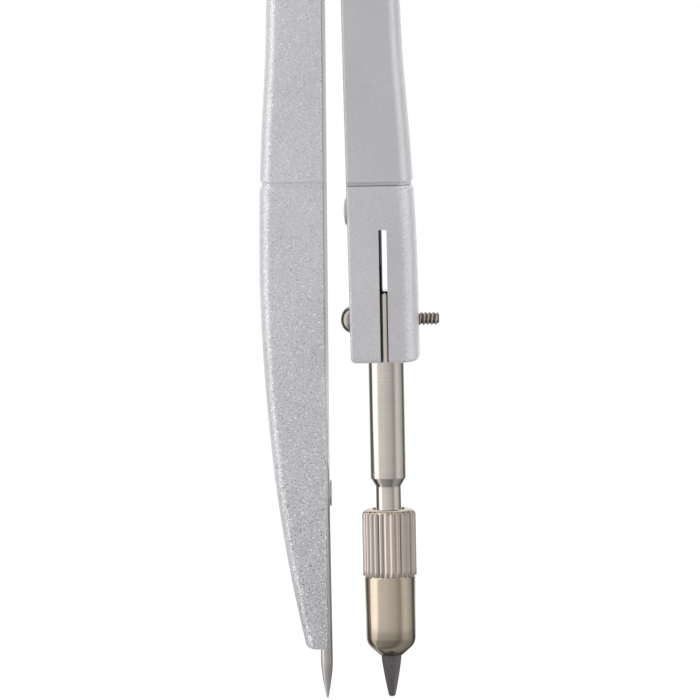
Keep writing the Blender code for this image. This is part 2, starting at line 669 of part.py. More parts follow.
def build_head():
    """The covers, their block and rivets, the pivot screws and the washers."""
    outline = cover_outline()
    covers = []
    for name, side in (("head_cover_front", -1), ("head_cover_back", 1)):
        middle = side * (COVER_INNER_Y + COVER_THICKNESS / 2)
        world = Matrix.Translation((0, middle, PIVOT_Z))
        cover = plate(name, outline, COVER_THICKNESS / 2, world, SILVER_PAINT, None, COVER_EDGE_ROUND)
        covers.append(cover)

    rise = GEAR_TIP_RADIUS + BLOCK_CLEAR_OF_TEETH
    corner = max(outline, key=lambda point: point[0])
    slope = (corner[0] - COVER_TOP_HALF_WIDTH) / (COVER_TOP_RISE - corner[1])
    foot = COVER_TOP_HALF_WIDTH + (COVER_TOP_RISE - rise) * slope - 2 * COVER_INNER_SETBACK
    top = COVER_TOP_HALF_WIDTH - COVER_INNER_SETBACK
    block_outline = [(-foot, rise), (foot, rise), (top, COVER_TOP_RISE), (-top, COVER_TOP_RISE)]
    block = plate(
        "head_block",
        block_outline,
        COVER_INNER_Y - SEAT_GAP,
        Matrix.Translation((0, 0, PIVOT_Z)),
        SILVER_PAINT,
    )
    socket_start = (0, 0, PIVOT_Z + COVER_TOP_RISE - SPINDLE_DEPTH_IN_BLOCK - SEAT_GAP)
    socket_length = SPINDLE_DEPTH_IN_BLOCK + CUT_OVERRUN
    cut(block, rod_cutter("spindle_socket", SPINDLE_RADIUS + SEAT_GAP, socket_start, socket_length, UP))

    rivet_z = PIVOT_Z + (rise + COVER_TOP_RISE) / 2 - RIVET_HEAD_RADIUS / 2
    through = LEG_THICKNESS + 2 * CUT_OVERRUN
    for name, side in (("cover_rivet_left", -1), ("cover_rivet_right", 1)):
        x = side * RIVET_HALF_SPACING
        start = (x, HEAD_HALF_THICKNESS + CUT_OVERRUN, rivet_z)
        for piece in covers + [block]:
            hole = rod_cutter(name + "_hole", RIVET_RADIUS + SEAT_GAP, start, through, TOWARDS_FRONT)
            cut(piece, hole)
        crown = dome(RIVET_HEAD_RADIUS, RIVET_HEAD_HEIGHT, DOME_STEPS)
        base = HEAD_HALF_THICKNESS + SEAT_GAP
        front = [(r, base + z) for r, z in crown]
        back = [(r, -z) for r, z in reversed(front)]
        profile = front + [(RIVET_RADIUS, base), (RIVET_RADIUS, -base)] + back
        world = Matrix.Translation((x, 0, rivet_z)) @ TOWARDS_FRONT
        turned(name, profile, world, STEEL, None, SMALL_SEGMENTS)

    for name, side in (("pivot_screw_left", -1), ("pivot_screw_right", 1)):
        x = side * PIVOT_HALF_SPACING
        start = (x, HEAD_HALF_THICKNESS + CUT_OVERRUN, PIVOT_Z)
        for cover in covers:
            hole = rod_cutter(name + "_hole", PIVOT_SCREW_RADIUS + RUNNING_GAP, start, through, TOWARDS_FRONT)
            cut(cover, hole)
        under = HEAD_HALF_THICKNESS + SEAT_GAP
        crown_top = under + PIVOT_HEAD_HEIGHT
        profile = [
            (0, crown_top),
            (PIVOT_HEAD_RADIUS - PIVOT_HEAD_CHAMFER, crown_top),
            (PIVOT_HEAD_RADIUS, crown_top - PIVOT_HEAD_CHAMFER),
            (PIVOT_HEAD_RADIUS, under),
            (PIVOT_SCREW_RADIUS, under),
            (PIVOT_SCREW_RADIUS, SEAT_GAP - HEAD_HALF_THICKNESS),
            (0, SEAT_GAP - HEAD_HALF_THICKNESS),
        ]
        world = Matrix.Translation((x, 0, PIVOT_Z)) @ TOWARDS_FRONT
        screw = turned(name, profile, world, STEEL)
        slotted_head_cut(
            screw,
            name + "_slot",
            (x, -crown_top, PIVOT_Z),
            PIVOT_HEAD_RADIUS,
            PIVOT_SLOT_WIDTH,
            PIVOT_SLOT_DEPTH,
            (0, -1, 0),
        )
        label = "left" if side < 0 else "right"
        washer("friction_washer_" + label + "_front", x, -1, None)
        washer("friction_washer_" + label + "_back", x, 1, None)


def fluted_ring(radius, depth, flutes, z):
    """Ring of a straight knurl: a ridge and a valley to each flute. Depth 0 is plain."""
    points = []
    for step in range(2 * flutes):
        angle = math.pi * step / flutes
        reach = radius - depth * (step % 2)
        points.append((reach * math.cos(angle), reach * math.sin(angle), z))
    return points


def build_handle():
    """Spindle, collar, knurled grip and the flat cap whose top is the origin."""
    spindle_low = COVER_TOP_RISE - SPINDLE_DEPTH_IN_BLOCK
    spindle_high = CAP_BASE_RISE + CAP_HEIGHT - CAP_ROOF - SEAT_GAP
    base = Matrix.Translation((0, 0, PIVOT_Z))
    profile = [
        (0, spindle_high),
        (SPINDLE_RADIUS, spindle_high),
        (SPINDLE_RADIUS, spindle_low),
        (0, spindle_low),
    ]
    turned("handle_spindle", profile, base, STEEL, None, SMALL_SEGMENTS)

    bore = SPINDLE_RADIUS + SEAT_GAP
    low = COLLAR_BASE_RISE
    high = low + COLLAR_HEIGHT
    edge = COLLAR_CHAMFER
    outer = [
        (bore, high),
        (COLLAR_RADIUS - edge, high),
        (COLLAR_RADIUS, high - edge),
        (COLLAR_RADIUS, low + edge),
        (COLLAR_RADIUS - edge, low),
        (bore, low),
    ]
    tube("handle_collar", outer, [], base, NICKEL)

    low = GRIP_BASE_RISE
    high = low + GRIP_LENGTH
    plain = GRIP_RADIUS - GRIP_FLUTE_DEPTH
    rings = [
        fluted_ring(bore, 0.0, GRIP_FLUTES, high),
        fluted_ring(plain - GRIP_CHAMFER, 0.0, GRIP_FLUTES, high),
        fluted_ring(GRIP_RADIUS, GRIP_FLUTE_DEPTH, GRIP_FLUTES, high - GRIP_CHAMFER),
        fluted_ring(GRIP_RADIUS, GRIP_FLUTE_DEPTH, GRIP_FLUTES, low + GRIP_CHAMFER),
        fluted_ring(plain - GRIP_CHAMFER, 0.0, GRIP_FLUTES, low),
        fluted_ring(bore, 0.0, GRIP_FLUTES, low),
    ]
    loft("handle_grip", rings, base, NICKEL, None, closed=True)

    low = CAP_BASE_RISE
    high = low + CAP_HEIGHT
    profile = [
        (0, high),
        (CAP_RADIUS - CAP_CHAMFER, high),
        (CAP_RADIUS, high - CAP_CHAMFER),
        (CAP_RADIUS, low),
        (bore, low),
        (bore, high - CAP_ROOF),
        (0, high - CAP_ROOF),
    ]
    turned("handle_cap", profile, base, NICKEL)


def finish_leg_top(leg, side, pivot_x, parent):
    """Thin the leg to its eye inside the covers, and join on the eye with its teeth."""
    reach = HEAD_HALF_THICKNESS + CUT_OVERRUN - EYE_HALF
    radius = COVER_RADIUS + COVER_SHOULDER_GAP
    for label, start_y in (("front", -EYE_HALF), ("back", EYE_HALF + reach)):
        start = (pivot_x, start_y, PIVOT_Z)
        name = leg.name + "_recess_" + label
        cut(leg, rod_cutter(name, radius, start, reach, TOWARDS_FRONT, 2 * ROUND_SEGMENTS))
    if side == NEEDLE_SIDE:
        outline = gear_sector_outline(-GEAR_TEETH_BELOW, GEAR_TEETH_ABOVE, 0.0)
    else:
        mirrored = gear_sector_outline(-GEAR_TEETH_BELOW, GEAR_TEETH_ABOVE, 0.5)
        outline = [(-x, z) for x, z in mirrored]
    world = Matrix.Translation((pivot_x, 0, PIVOT_Z))
    join(leg, plate(leg.name + "_eye", outline, EYE_HALF, world))
    start = (pivot_x, HEAD_HALF_THICKNESS + CUT_OVERRUN, PIVOT_Z)
    length = LEG_THICKNESS + 2 * CUT_OVERRUN
    bore = PIVOT_SCREW_RADIUS + RUNNING_GAP
    cut(leg, rod_cutter(leg.name + "_pivot_bore", bore, start, length, TOWARDS_FRONT))


def build_needle_leg():
    """The whole needle leg is one casting, with a groove for the needle in its inner face."""
    pivot_x = NEEDLE_SIDE * PIVOT_HALF_SPACING
    pivot = add_empty("needle_leg_pivot", (pivot_x, 0, PIVOT_Z))
    knee = PIVOT_TO_TIP - KNEE_HEIGHT
    foot = PIVOT_TO_TIP - FOOT_HEIGHT
    widths = (OUTER_ROUND_WIDTH_TOP, OUTER_ROUND_WIDTH_KNEE)
    rings = leg_rings(
        NEEDLE_SIDE, pivot_x, 0.0, knee, UPPER_LEVELS, UPPER_WIDTH_SHARES, widths, False, True, 0.0
    )
    lower = leg_rings(
        NEEDLE_SIDE,
        pivot_x,
        knee,
        foot,
        NEEDLE_LEG_LOWER_LEVELS,
        NEEDLE_LEG_LOWER_SHARES,
        (OUTER_ROUND_WIDTH_KNEE, OUTER_ROUND_WIDTH_TOP),
        True,
        False,
        FOOT_ROUND,
    )
    world = Matrix.Translation((pivot_x, 0, PIVOT_Z))
    leg = loft("needle_leg", rings + lower[1:], world, SILVER_PAINT, pivot)
    finish_leg_top(leg, NEEDLE_SIDE, pivot_x, pivot)

    groove = NEEDLE_RADIUS + NEEDLE_GROOVE_GAP
    low = TIP_Z + FOOT_HEIGHT - CUT_OVERRUN
    high = TIP_Z + NEEDLE_LENGTH + NEEDLE_RISE + SEAT_GAP
    outline = arc((NEEDLE_X, POINT_PLANE_Y), (groove, groove), 90, 270, SMALL_SEGMENTS // 2)
    outline += [(0, POINT_PLANE_Y - groove), (0, POINT_PLANE_Y + groove)]
    rings = [[(x, y, z) for x, y in outline] for z in (high, low)]
    cut(leg, loft("needle_groove", rings, UP))

    screw_z = height(NEEDLE_SCREW_HEIGHT)
    face = -inner_face(PIVOT_TO_TIP - NEEDLE_SCREW_HEIGHT)
    under = face + NEEDLE_HEAD_LIFT
    hole_start = (face - NEEDLE_SCREW_DEPTH - SEAT_GAP, NEEDLE_SCREW_Y, screw_z)
    hole_length = NEEDLE_SCREW_DEPTH + CUT_OVERRUN
    hole = rod_cutter("needle_screw_hole", NEEDLE_SCREW_RADIUS + SEAT_GAP, hole_start, hole_length, ALONG_X)
    cut(leg, hole)

    lower_point = []
    for step in range(POINT_STEPS + 1):
        share = step / POINT_STEPS
        fullness = math.sin(share * math.pi / 2) ** NEEDLE_POINT_FULLNESS_SHARE
        radius = NEEDLE_POINT_RADIUS + (NEEDLE_RADIUS - NEEDLE_POINT_RADIUS) * fullness
        lower_point.append((radius, NEEDLE_POINT_LENGTH * share))
    upper_point = [(r, NEEDLE_LENGTH - z) for r, z in lower_point]
    profile = [(0, NEEDLE_LENGTH)] + upper_point + lower_point[::-1] + [(0, 0)]
    world = Matrix.Translation((NEEDLE_X, POINT_PLANE_Y, TIP_Z))
    turned("needle", profile, world, NEEDLE_STEEL, pivot, SMALL_SEGMENTS)

    profile = [
        (0, NEEDLE_HEAD_HEIGHT),
        (NEEDLE_HEAD_RADIUS - NEEDLE_HEAD_CHAMFER, NEEDLE_HEAD_HEIGHT),
        (NEEDLE_HEAD_RADIUS, NEEDLE_HEAD_HEIGHT - NEEDLE_HEAD_CHAMFER),
        (NEEDLE_HEAD_RADIUS, 0),
        (NEEDLE_SCREW_RADIUS, 0),
        (NEEDLE_SCREW_RADIUS, -NEEDLE_SCREW_DEPTH),
        (0, -NEEDLE_SCREW_DEPTH),
    ]
    world = Matrix.Translation((under, NEEDLE_SCREW_Y, screw_z)) @ ALONG_X
    screw = turned("needle_screw", profile, world, STEEL, pivot, SMALL_SEGMENTS)
    slotted_head_cut(
        screw,
        "needle_screw_slot",
        (under + NEEDLE_HEAD_HEIGHT, NEEDLE_SCREW_Y, screw_z),
        NEEDLE_HEAD_RADIUS,
        SMALL_SLOT_WIDTH,
        SMALL_SLOT_DEPTH,
        (1, 0, 0),
    )


def build_lead_leg():
    """The upper casting ends in a tenon, and the clamp block is fitted over it and held by a screw."""
    pivot_x = LEAD_SIDE * PIVOT_HALF_SPACING
    pivot = add_empty("lead_leg_pivot", (pivot_x, 0, PIVOT_Z))
    world = Matrix.Translation((pivot_x, 0, PIVOT_Z))
    knee = PIVOT_TO_TIP - LEAD_KNEE_HEIGHT
    widths = (OUTER_ROUND_WIDTH_TOP, OUTER_ROUND_WIDTH_KNEE)
    rings = leg_rings(
        LEAD_SIDE, pivot_x, 0.0, knee - SEAM / 2, UPPER_LEVELS, UPPER_WIDTH_SHARES, widths, False, True, 0.0
    )
    leg = loft("lead_leg", rings, world, SILVER_PAINT, pivot)
    finish_leg_top(leg, LEAD_SIDE, pivot_x, pivot)

    knee_z = height(LEAD_KNEE_HEIGHT)
    middle_x = inner_face(knee) + KNEE_WIDTH / 2
    half_width = TENON_WIDTH / 2
    half_depth = TENON_DEPTH / 2
    tenon_low = (middle_x - half_width, -half_depth, knee_z - TENON_LENGTH)
    tenon_high = (middle_x + half_width, half_depth, knee_z + CUT_OVERRUN)
    join(leg, box_cutter("tenon", tenon_low, tenon_high))

    foot = PIVOT_TO_TIP - BLOCK_FOOT_HEIGHT
    rings = leg_rings(
        LEAD_SIDE,
        pivot_x,
        knee + SEAM / 2,
        foot,
        BLOCK_LEVELS,
        BLOCK_WIDTH_SHARES,
        (OUTER_ROUND_WIDTH_KNEE, OUTER_ROUND_WIDTH_KNEE),
        True,
        False,
        BLOCK_FOOT_ROUND,
    )
    block = loft("clamp_block", rings, world, SILVER_PAINT, pivot)
    gap = SEAT_GAP
    socket_low = (tenon_low[0] - gap, tenon_low[1] - gap, tenon_low[2] - gap)
    socket_high = (tenon_high[0] + gap, tenon_high[1] + gap, tenon_high[2])
    cut(block, box_cutter("tenon_socket", socket_low, socket_high))

    bore = SHANK_RADIUS + RUNNING_GAP
    low = height(BLOCK_FOOT_HEIGHT) - CUT_OVERRUN
    start = (INSERT_X, POINT_PLANE_Y, low)
    cut(block, rod_cutter("insert_bore", bore, start, height(BORE_TOP_HEIGHT) - low, UP, ROUND_SEGMENTS))
    reach = HEAD_HALF_THICKNESS + CUT_OVERRUN
    slot_low = (INSERT_X - SLOT_WIDTH / 2, -reach, low)
    slot_high = (INSERT_X + SLOT_WIDTH / 2, reach, height(SLOT_TOP_HEIGHT))
    cut(block, box_cutter("clamp_slot", slot_low, slot_high))

    screw_z = height(CLAMP_SCREW_HEIGHT)
    face = inner_face(PIVOT_TO_TIP - CLAMP_SCREW_HEIGHT)
    start = (face - CUT_OVERRUN, CLAMP_SCREW_Y, screw_z)
    through = KNEE_WIDTH + 3 * CUT_OVERRUN
    cut(block, rod_cutter("clamp_screw_hole", CLAMP_SCREW_RADIUS + SEAT_GAP, start, through, ALONG_X))
    outer = face + KNEE_WIDTH * BLOCK_WIDTH_SHARES[-1][1]
    start = (outer - CLAMP_EXIT_DEPTH, CLAMP_SCREW_Y, screw_z)
    cut(block, rod_cutter("clamp_screw_exit", CLAMP_EXIT_RADIUS, start, through, ALONG_X))

    fixing_z = height(FIXING_SCREW_HEIGHT)
    fixing_face = inner_face(PIVOT_TO_TIP - FIXING_SCREW_HEIGHT)
    start = (fixing_face - CUT_OVERRUN, 0, fixing_z)
    length = FIXING_SCREW_REACH + CUT_OVERRUN + SEAT_GAP
    hole = FIXING_SCREW_RADIUS + SEAT_GAP
    for piece in (leg, block):
        cut(piece, rod_cutter("fixing_hole_in_" + piece.name, hole, start, length, ALONG_X))
    crown = [
        (r, FIXING_HEAD_RIM + z)
        for r, z in dome(FIXING_HEAD_RADIUS, FIXING_HEAD_DOME, DOME_STEPS)
    ]
    profile = crown + [
        (FIXING_HEAD_RADIUS, 0),
        (FIXING_SCREW_RADIUS, 0),
        (FIXING_SCREW_RADIUS, -FIXING_SCREW_REACH),
        (0, -FIXING_SCREW_REACH),
    ]
    world = Matrix.Translation((fixing_face - SEAT_GAP, 0, fixing_z)) @ AGAINST_X
    turned("fixing_screw", profile, world, STEEL, pivot, SMALL_SEGMENTS)

    under = face - SEAT_GAP
    crown = [(r, CLAMP_HEAD_RIM + z) for r, z in dome(CLAMP_HEAD_RADIUS, CLAMP_HEAD_DOME, DOME_STEPS)]
    end = under - outer - CLAMP_SCREW_STANDOUT
    profile = crown + [
        (CLAMP_HEAD_RADIUS, 0),
        (CLAMP_SCREW_RADIUS, 0),
        (CLAMP_SCREW_RADIUS, end + CLAMP_SCREW_CHAMFER),
        (CLAMP_SCREW_RADIUS - CLAMP_SCREW_CHAMFER, end),
        (0, end),
    ]
    world = Matrix.Translation((under, CLAMP_SCREW_Y, screw_z)) @ AGAINST_X
    screw = turned("clamp_screw", profile, world, STEEL, pivot, SMALL_SEGMENTS)
    slotted_head_cut(
        screw,
        "clamp_screw_slot",
        (under - CLAMP_HEAD_RIM - CLAMP_HEAD_DOME, CLAMP_SCREW_Y, screw_z),
        CLAMP_HEAD_RADIUS,
        SMALL_SLOT_WIDTH,
        CLAMP_SLOT_DEPTH,
        (-1, 0, 0),
    )
    return pivot


def nose_bend():
    """The round stretch between the sleeve's body and the cone of its nose, as rings without flutes."""
    turns = [NOSE_TURN * i / CORNER_STEPS for i in range(CORNER_STEPS + 1)]
    return [
        (
            SLEEVE_BODY_END_RADIUS - NOSE_BEND_RADIUS * (1 - math.cos(turn)),
            0.0,
            SLEEVE_BODY_END_HEIGHT - NOSE_BEND_RADIUS * math.sin(turn),
        )
        for turn in turns
    ]


def build_insert(pivot):
    """Shank with its slit collet, the clamping sleeve over it, and the lead inside it."""
    world = Matrix.Translation((INSERT_X, POINT_PLANE_Y, TIP_Z))
    bore = LEAD_RADIUS + RUNNING_GAP
    bore_top = LEAD_TIP_HEIGHT + LEAD_LENGTH + LEAD_BORE_SPARE
    profile = [
        (0, SHANK_TOP_HEIGHT),
        (SHANK_RADIUS - SHANK_TOP_CHAMFER, SHANK_TOP_HEIGHT),
        (SHANK_RADIUS, SHANK_TOP_HEIGHT - SHANK_TOP_CHAMFER),
        (SHANK_RADIUS, NECK_TOP_HEIGHT + SHOULDER_DROP),
        (NECK_RADIUS, NECK_TOP_HEIGHT),
        (NECK_RADIUS, THREAD_TOP_HEIGHT),
        (THREAD_RADIUS, THREAD_TOP_HEIGHT - (THREAD_RADIUS - NECK_RADIUS)),
        (THREAD_RADIUS, THREAD_END_HEIGHT),
        (JAW_RADIUS, THREAD_END_HEIGHT - (THREAD_RADIUS - JAW_RADIUS)),
        (JAW_RADIUS, JAW_CONE_HEIGHT),
        (JAW_END_RADIUS, JAW_END_HEIGHT),
        (bore, JAW_END_HEIGHT),
        (bore, bore_top),
        (0, bore_top),
    ]
    shank = turned("insert_shank", profile, world, NICKEL, pivot)
    reach = THREAD_RADIUS + CUT_OVERRUN
    low = height(JAW_END_HEIGHT) - CUT_OVERRUN
    high = height(THREAD_END_HEIGHT - JAW_ROOT)
    slit = JAW_SLIT / 2
    for name, x, y in (("jaw_slit_across", reach, slit), ("jaw_slit_along", slit, reach)):
        near = (INSERT_X - x, POINT_PLANE_Y - y, low)
        far = (INSERT_X + x, POINT_PLANE_Y + y, high)
        cut(shank, box_cutter(name, near, far))

    knurl_top = SLEEVE_TOP_HEIGHT - SLEEVE_SHOULDER_DROP
    mouth = THREAD_RADIUS + RUNNING_GAP
    seat = JAW_RADIUS + RUNNING_GAP
    nose_bore = LEAD_RADIUS + RUNNING_GAP
    seat_end = JAW_END_RADIUS + RUNNING_GAP
    shoulder_radius = (SLEEVE_TOP_RADIUS + KNURL_RADIUS) / 2
    rings = [
        fluted_ring(radius, depth, KNURL_FLUTES, z)
        for radius, depth, z in (
            (SLEEVE_TOP_RADIUS, 0.0, SLEEVE_TOP_HEIGHT),
            (shoulder_radius, 0.0, SLEEVE_TOP_HEIGHT - SLEEVE_SHOULDER_BEND),
            (KNURL_RADIUS, KNURL_DEPTH, knurl_top),
            (KNURL_RADIUS, KNURL_DEPTH, KNURL_END_HEIGHT + KNURL_END_CHAMFER),
            (SLEEVE_BODY_RADIUS, 0.0, KNURL_END_HEIGHT),
            *nose_bend(),
            (NOSE_RADIUS, 0.0, NOSE_HEIGHT),
            (nose_bore, 0.0, NOSE_HEIGHT),
            (nose_bore, 0.0, JAW_END_HEIGHT - RUNNING_GAP - JAW_SEAT_STEP),
            (seat_end, 0.0, JAW_END_HEIGHT - RUNNING_GAP),
            (seat, 0.0, JAW_CONE_HEIGHT - RUNNING_GAP),
            (seat, 0.0, THREAD_END_HEIGHT - (THREAD_RADIUS - JAW_RADIUS) - RUNNING_GAP),
            (mouth, 0.0, THREAD_END_HEIGHT - RUNNING_GAP),
            (mouth, 0.0, SLEEVE_TOP_HEIGHT - SLEEVE_MOUTH_DEPTH),
            (mouth + SLEEVE_MOUTH_FLARE, 0.0, SLEEVE_TOP_HEIGHT),
        )
    ]
    loft("lead_sleeve", rings, world, NICKEL, pivot, closed=True)

    top = LEAD_TIP_HEIGHT + LEAD_LENGTH
    profile = [
        (0, top),
        (LEAD_RADIUS, top),
        (LEAD_RADIUS, LEAD_TIP_HEIGHT + LEAD_CONE_LENGTH),
        (LEAD_TIP_RADIUS, LEAD_TIP_HEIGHT + LEAD_TIP_ROUND),
        (LEAD_TIP_RADIUS / 2, LEAD_TIP_HEIGHT + LEAD_TIP_ROUND / 4),
        (0, LEAD_TIP_HEIGHT),
    ]
    turned("lead", profile, world, GRAPHITE, pivot, SMALL_SEGMENTS)


build_head()
build_handle()
build_needle_leg()
lead_pivot = build_lead_leg()
build_insert(lead_pivot)
bpy.context.view_layer.update()
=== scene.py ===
# %% [markdown]
# # A drawing compass, dressed for the camera
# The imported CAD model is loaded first. It says where every piece is, how big it is and what it
# rides on. Each cell below then gives one piece its fine shape, or one finish its look, and says
# why it is done so.

# %% Load the frame
import math

import bmesh
import bpy
from mathutils import Matrix, Vector
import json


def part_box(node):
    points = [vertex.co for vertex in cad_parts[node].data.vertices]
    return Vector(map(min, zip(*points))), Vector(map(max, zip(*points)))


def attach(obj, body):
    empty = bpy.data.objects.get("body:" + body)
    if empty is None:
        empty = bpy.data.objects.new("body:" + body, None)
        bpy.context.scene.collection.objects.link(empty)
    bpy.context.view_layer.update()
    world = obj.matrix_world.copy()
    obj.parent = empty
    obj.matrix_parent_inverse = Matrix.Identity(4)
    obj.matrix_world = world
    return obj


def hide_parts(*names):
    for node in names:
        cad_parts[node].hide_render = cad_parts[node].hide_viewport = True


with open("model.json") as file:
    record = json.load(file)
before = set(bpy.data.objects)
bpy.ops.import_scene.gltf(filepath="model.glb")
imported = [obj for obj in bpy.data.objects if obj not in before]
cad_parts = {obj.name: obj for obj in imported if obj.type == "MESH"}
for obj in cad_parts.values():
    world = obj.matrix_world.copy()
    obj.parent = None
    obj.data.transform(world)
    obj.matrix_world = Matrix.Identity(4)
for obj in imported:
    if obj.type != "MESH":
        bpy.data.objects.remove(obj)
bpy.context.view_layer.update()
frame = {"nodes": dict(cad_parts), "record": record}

# %% [markdown]
# All the places come from the frame: a joint's place from the record, and a piece's place from
# its CAD box. A millimetre is the unit that a maker thinks in, so sizes are written as a number
# times MM.

# %% Places from the frame
MM = 0.001
JOINTS = {joint["name"]: joint for joint in frame["record"]["behaviour"]["joints"]}


def joint_place(name):
    """Where a joint's axis passes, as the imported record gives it."""
    return Vector(JOINTS[name]["pos_m"])


def middle_of(node):
    low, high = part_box(node)
    return (Vector(low) + Vector(high)) / 2


def radius_of(node, axis):
    """Radius of an upright turned CAD piece about its axis."""
    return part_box(node)[HIGH][0] - axis.x


LOW, HIGH = 0, 1
TIP_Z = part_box("needle")[LOW][2]
NEEDLE_PIVOT = joint_place("needle_leg_spread")
LEAD_PIVOT = joint_place("lead_leg_spread")
INSERT_AXIS = joint_place("sleeve_turn")
NEEDLE_AXIS = middle_of("needle")
SEAM_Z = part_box("clamp_block")[HIGH][2]
print("needle tip at", round(TIP_Z, 5), "and the seam of the lead leg at", round(SEAM_Z, 5))

# %% [markdown]
# The photograph is a close view with hardly any perspective, as from a long lens on a copy stand.
# So the camera has a long lens, stands a little to the right of the front and looks slightly
# down. A small roll stands the compass as it leans in the picture.

# %% Camera
PHOTO_PIXELS = 700
PIXELS_PER_MM = 10.0
LENS = 360.0
SENSOR = 36.0
AZIMUTH = math.radians(2.8)
ELEVATION = math.radians(5.5)
ROLL = math.radians(-1.094)
AIM = Vector((1.04 * MM, 0.0, TIP_Z + 34.95 * MM))

field = PHOTO_PIXELS / PIXELS_PER_MM * MM
distance = field * LENS / SENSOR
back = Vector(
    (
        math.sin(AZIMUTH) * math.cos(ELEVATION),
        -math.cos(AZIMUTH) * math.cos(ELEVATION),
        math.sin(ELEVATION),
    )
)
bpy.ops.object.camera_add(location=AIM + back * distance)
camera = bpy.context.object
camera.name = "photo_camera"
turn = (-back).to_track_quat("-Z", "Y").to_matrix() @ Matrix.Rotation(ROLL, 3, "Z")
camera.rotation_euler = turn.to_euler()
camera.data.lens = LENS
camera.data.sensor_width = SENSOR
camera.data.clip_start = 10 * MM
bpy.context.scene.camera = camera
bpy.context.scene.view_settings.view_transform = "Standard"
print("the camera stands", round(distance, 3), "m from the compass")

# %% [markdown]
# Polished metal has no look of its own: it shows what stands round it. In a studio that is a ring
# of cards. Here the ring is a colour ramp over the angle round the compass: a bright card far to
# the left, a softer one to the right, a plain grey front, dark gaps beyond them and white behind.
# The same ring serves for the world and for the floor, because the metal sees both. The camera
# itself sees plain white.

# %% The ring of studio cards
CARD_RING = (
    (-180, 1.00),
    (-152, 1.00),
    (-144, 0.30),
    (-128, 0.13),
    (-108, 0.14),
    (-102, 1.55),
    (-78, 1.80),
    (-68, 1.75),
    (-58, 1.00),
    (-50, 0.87),
    (-26, 0.84),
    (0, 0.70),
    (20, 0.62),
    (34, 0.50),
    (42, 0.42),
    (48, 0.44),
    (57, 0.72),
    (72, 0.84),
    (92, 0.64),
    (108, 0.48),
    (118, 0.16),
    (140, 0.18),
    (150, 0.95),
    (180, 1.00),
)
PLAIN_LIGHT = (0.62, 0.62, 0.6262)
FLOOR_SHADOW_SHARE = 0.12
FLOOR_GLOW = 1.07
# painted shade: the ring that the metal sees on the floor is dimmed near the points
PAINTED_SHADE_NEAR_POINTS = 0.45
DIM_FROM, DIM_TO = 15 * MM, 90 * MM
FLOOR_RADIUS = 4.0
FLOOR_DROP = 0.02 * MM
FLOOR_PAINT = (0.85, 0.85, 0.85, 1)
WHITE = (1, 1, 1, 1)


def add_node(tree, kind, links=(), **settings):
    """A new node. Links are (input, socket) pairs, and settings are the node's own properties."""
    node = tree.nodes.new(kind)
    for name, value in settings.items():
        setattr(node, name, value)
    for name, source in links:
        if hasattr(source, "is_output"):
            tree.links.new(source, node.inputs[name])
        else:
            node.inputs[name].default_value = source
    return node


def ramp(tree, value, stops, low=0.0, high=1.0):
    """A level read off (place, level) stops, for a value that goes from low to high."""
    share = add_node(
        tree, "ShaderNodeMapRange", [("Value", value), ("From Min", low), ("From Max", high)]
    )
    levels = add_node(tree, "ShaderNodeValToRGB", [("Fac", share.outputs[0])])
    elements = levels.color_ramp.elements
    while len(elements) < len(stops):
        elements.new(0.5)
    for element, (place, level) in zip(elements, stops):
        element.position = (place - stops[0][0]) / (stops[-1][0] - stops[0][0])
        element.color = (level, level, level, 1)
    return levels.outputs["Color"]


def card_colour(tree, direction):
    """The ring's brightness for a direction or a place round the compass."""
    parts = add_node(tree, "ShaderNodeSeparateXYZ", [("Vector", direction)])
    front = add_node(
        tree, "ShaderNodeMath", [(0, parts.outputs["Y"]), (1, -1.0)], operation="MULTIPLY"
    )
    angle = add_node(
        tree,
        "ShaderNodeMath",
        [(0, parts.outputs["X"]), (1, front.outputs[0])],
        operation="ARCTAN2",
    )
    return ramp(tree, angle.outputs[0], CARD_RING, -math.pi + AZIMUTH, math.pi + AZIMUTH)


def seen_by_metal(tree):
    """1 for rays that a mirror or glass sends out, else 0."""
    path = add_node(tree, "ShaderNodeLightPath")
    both = add_node(
        tree,
        "ShaderNodeMath",
        [(0, path.outputs["Is Glossy Ray"]), (1, path.outputs["Is Transmission Ray"])],
        operation="MAXIMUM",
    )
    return path.outputs["Is Camera Ray"], both.outputs[0]


world = bpy.data.worlds.new("studio")
bpy.context.scene.world = world
world.use_nodes = True
tree = world.node_tree
tree.nodes.clear()
place = add_node(tree, "ShaderNodeTexCoord")
ring = card_colour(tree, place.outputs["Generated"])
camera_ray, metal_ray = seen_by_metal(tree)
plain = add_node(tree, "ShaderNodeRGB")
plain.outputs[0].default_value = (*PLAIN_LIGHT, 1)
mirrored = add_node(
    tree,
    "ShaderNodeMix",
    [("Factor", metal_ray), (6, plain.outputs[0]), (7, ring)],
    data_type="RGBA",
)
shown = add_node(
    tree,
    "ShaderNodeMix",
    [("Factor", camera_ray), (6, mirrored.outputs[2]), (7, WHITE)],
    data_type="RGBA",
)
backdrop = add_node(tree, "ShaderNodeBackground", [("Color", shown.outputs[2])])
add_node(tree, "ShaderNodeOutputWorld", [("Surface", backdrop.outputs[0])])
print("the ring has", len(CARD_RING), "stops")
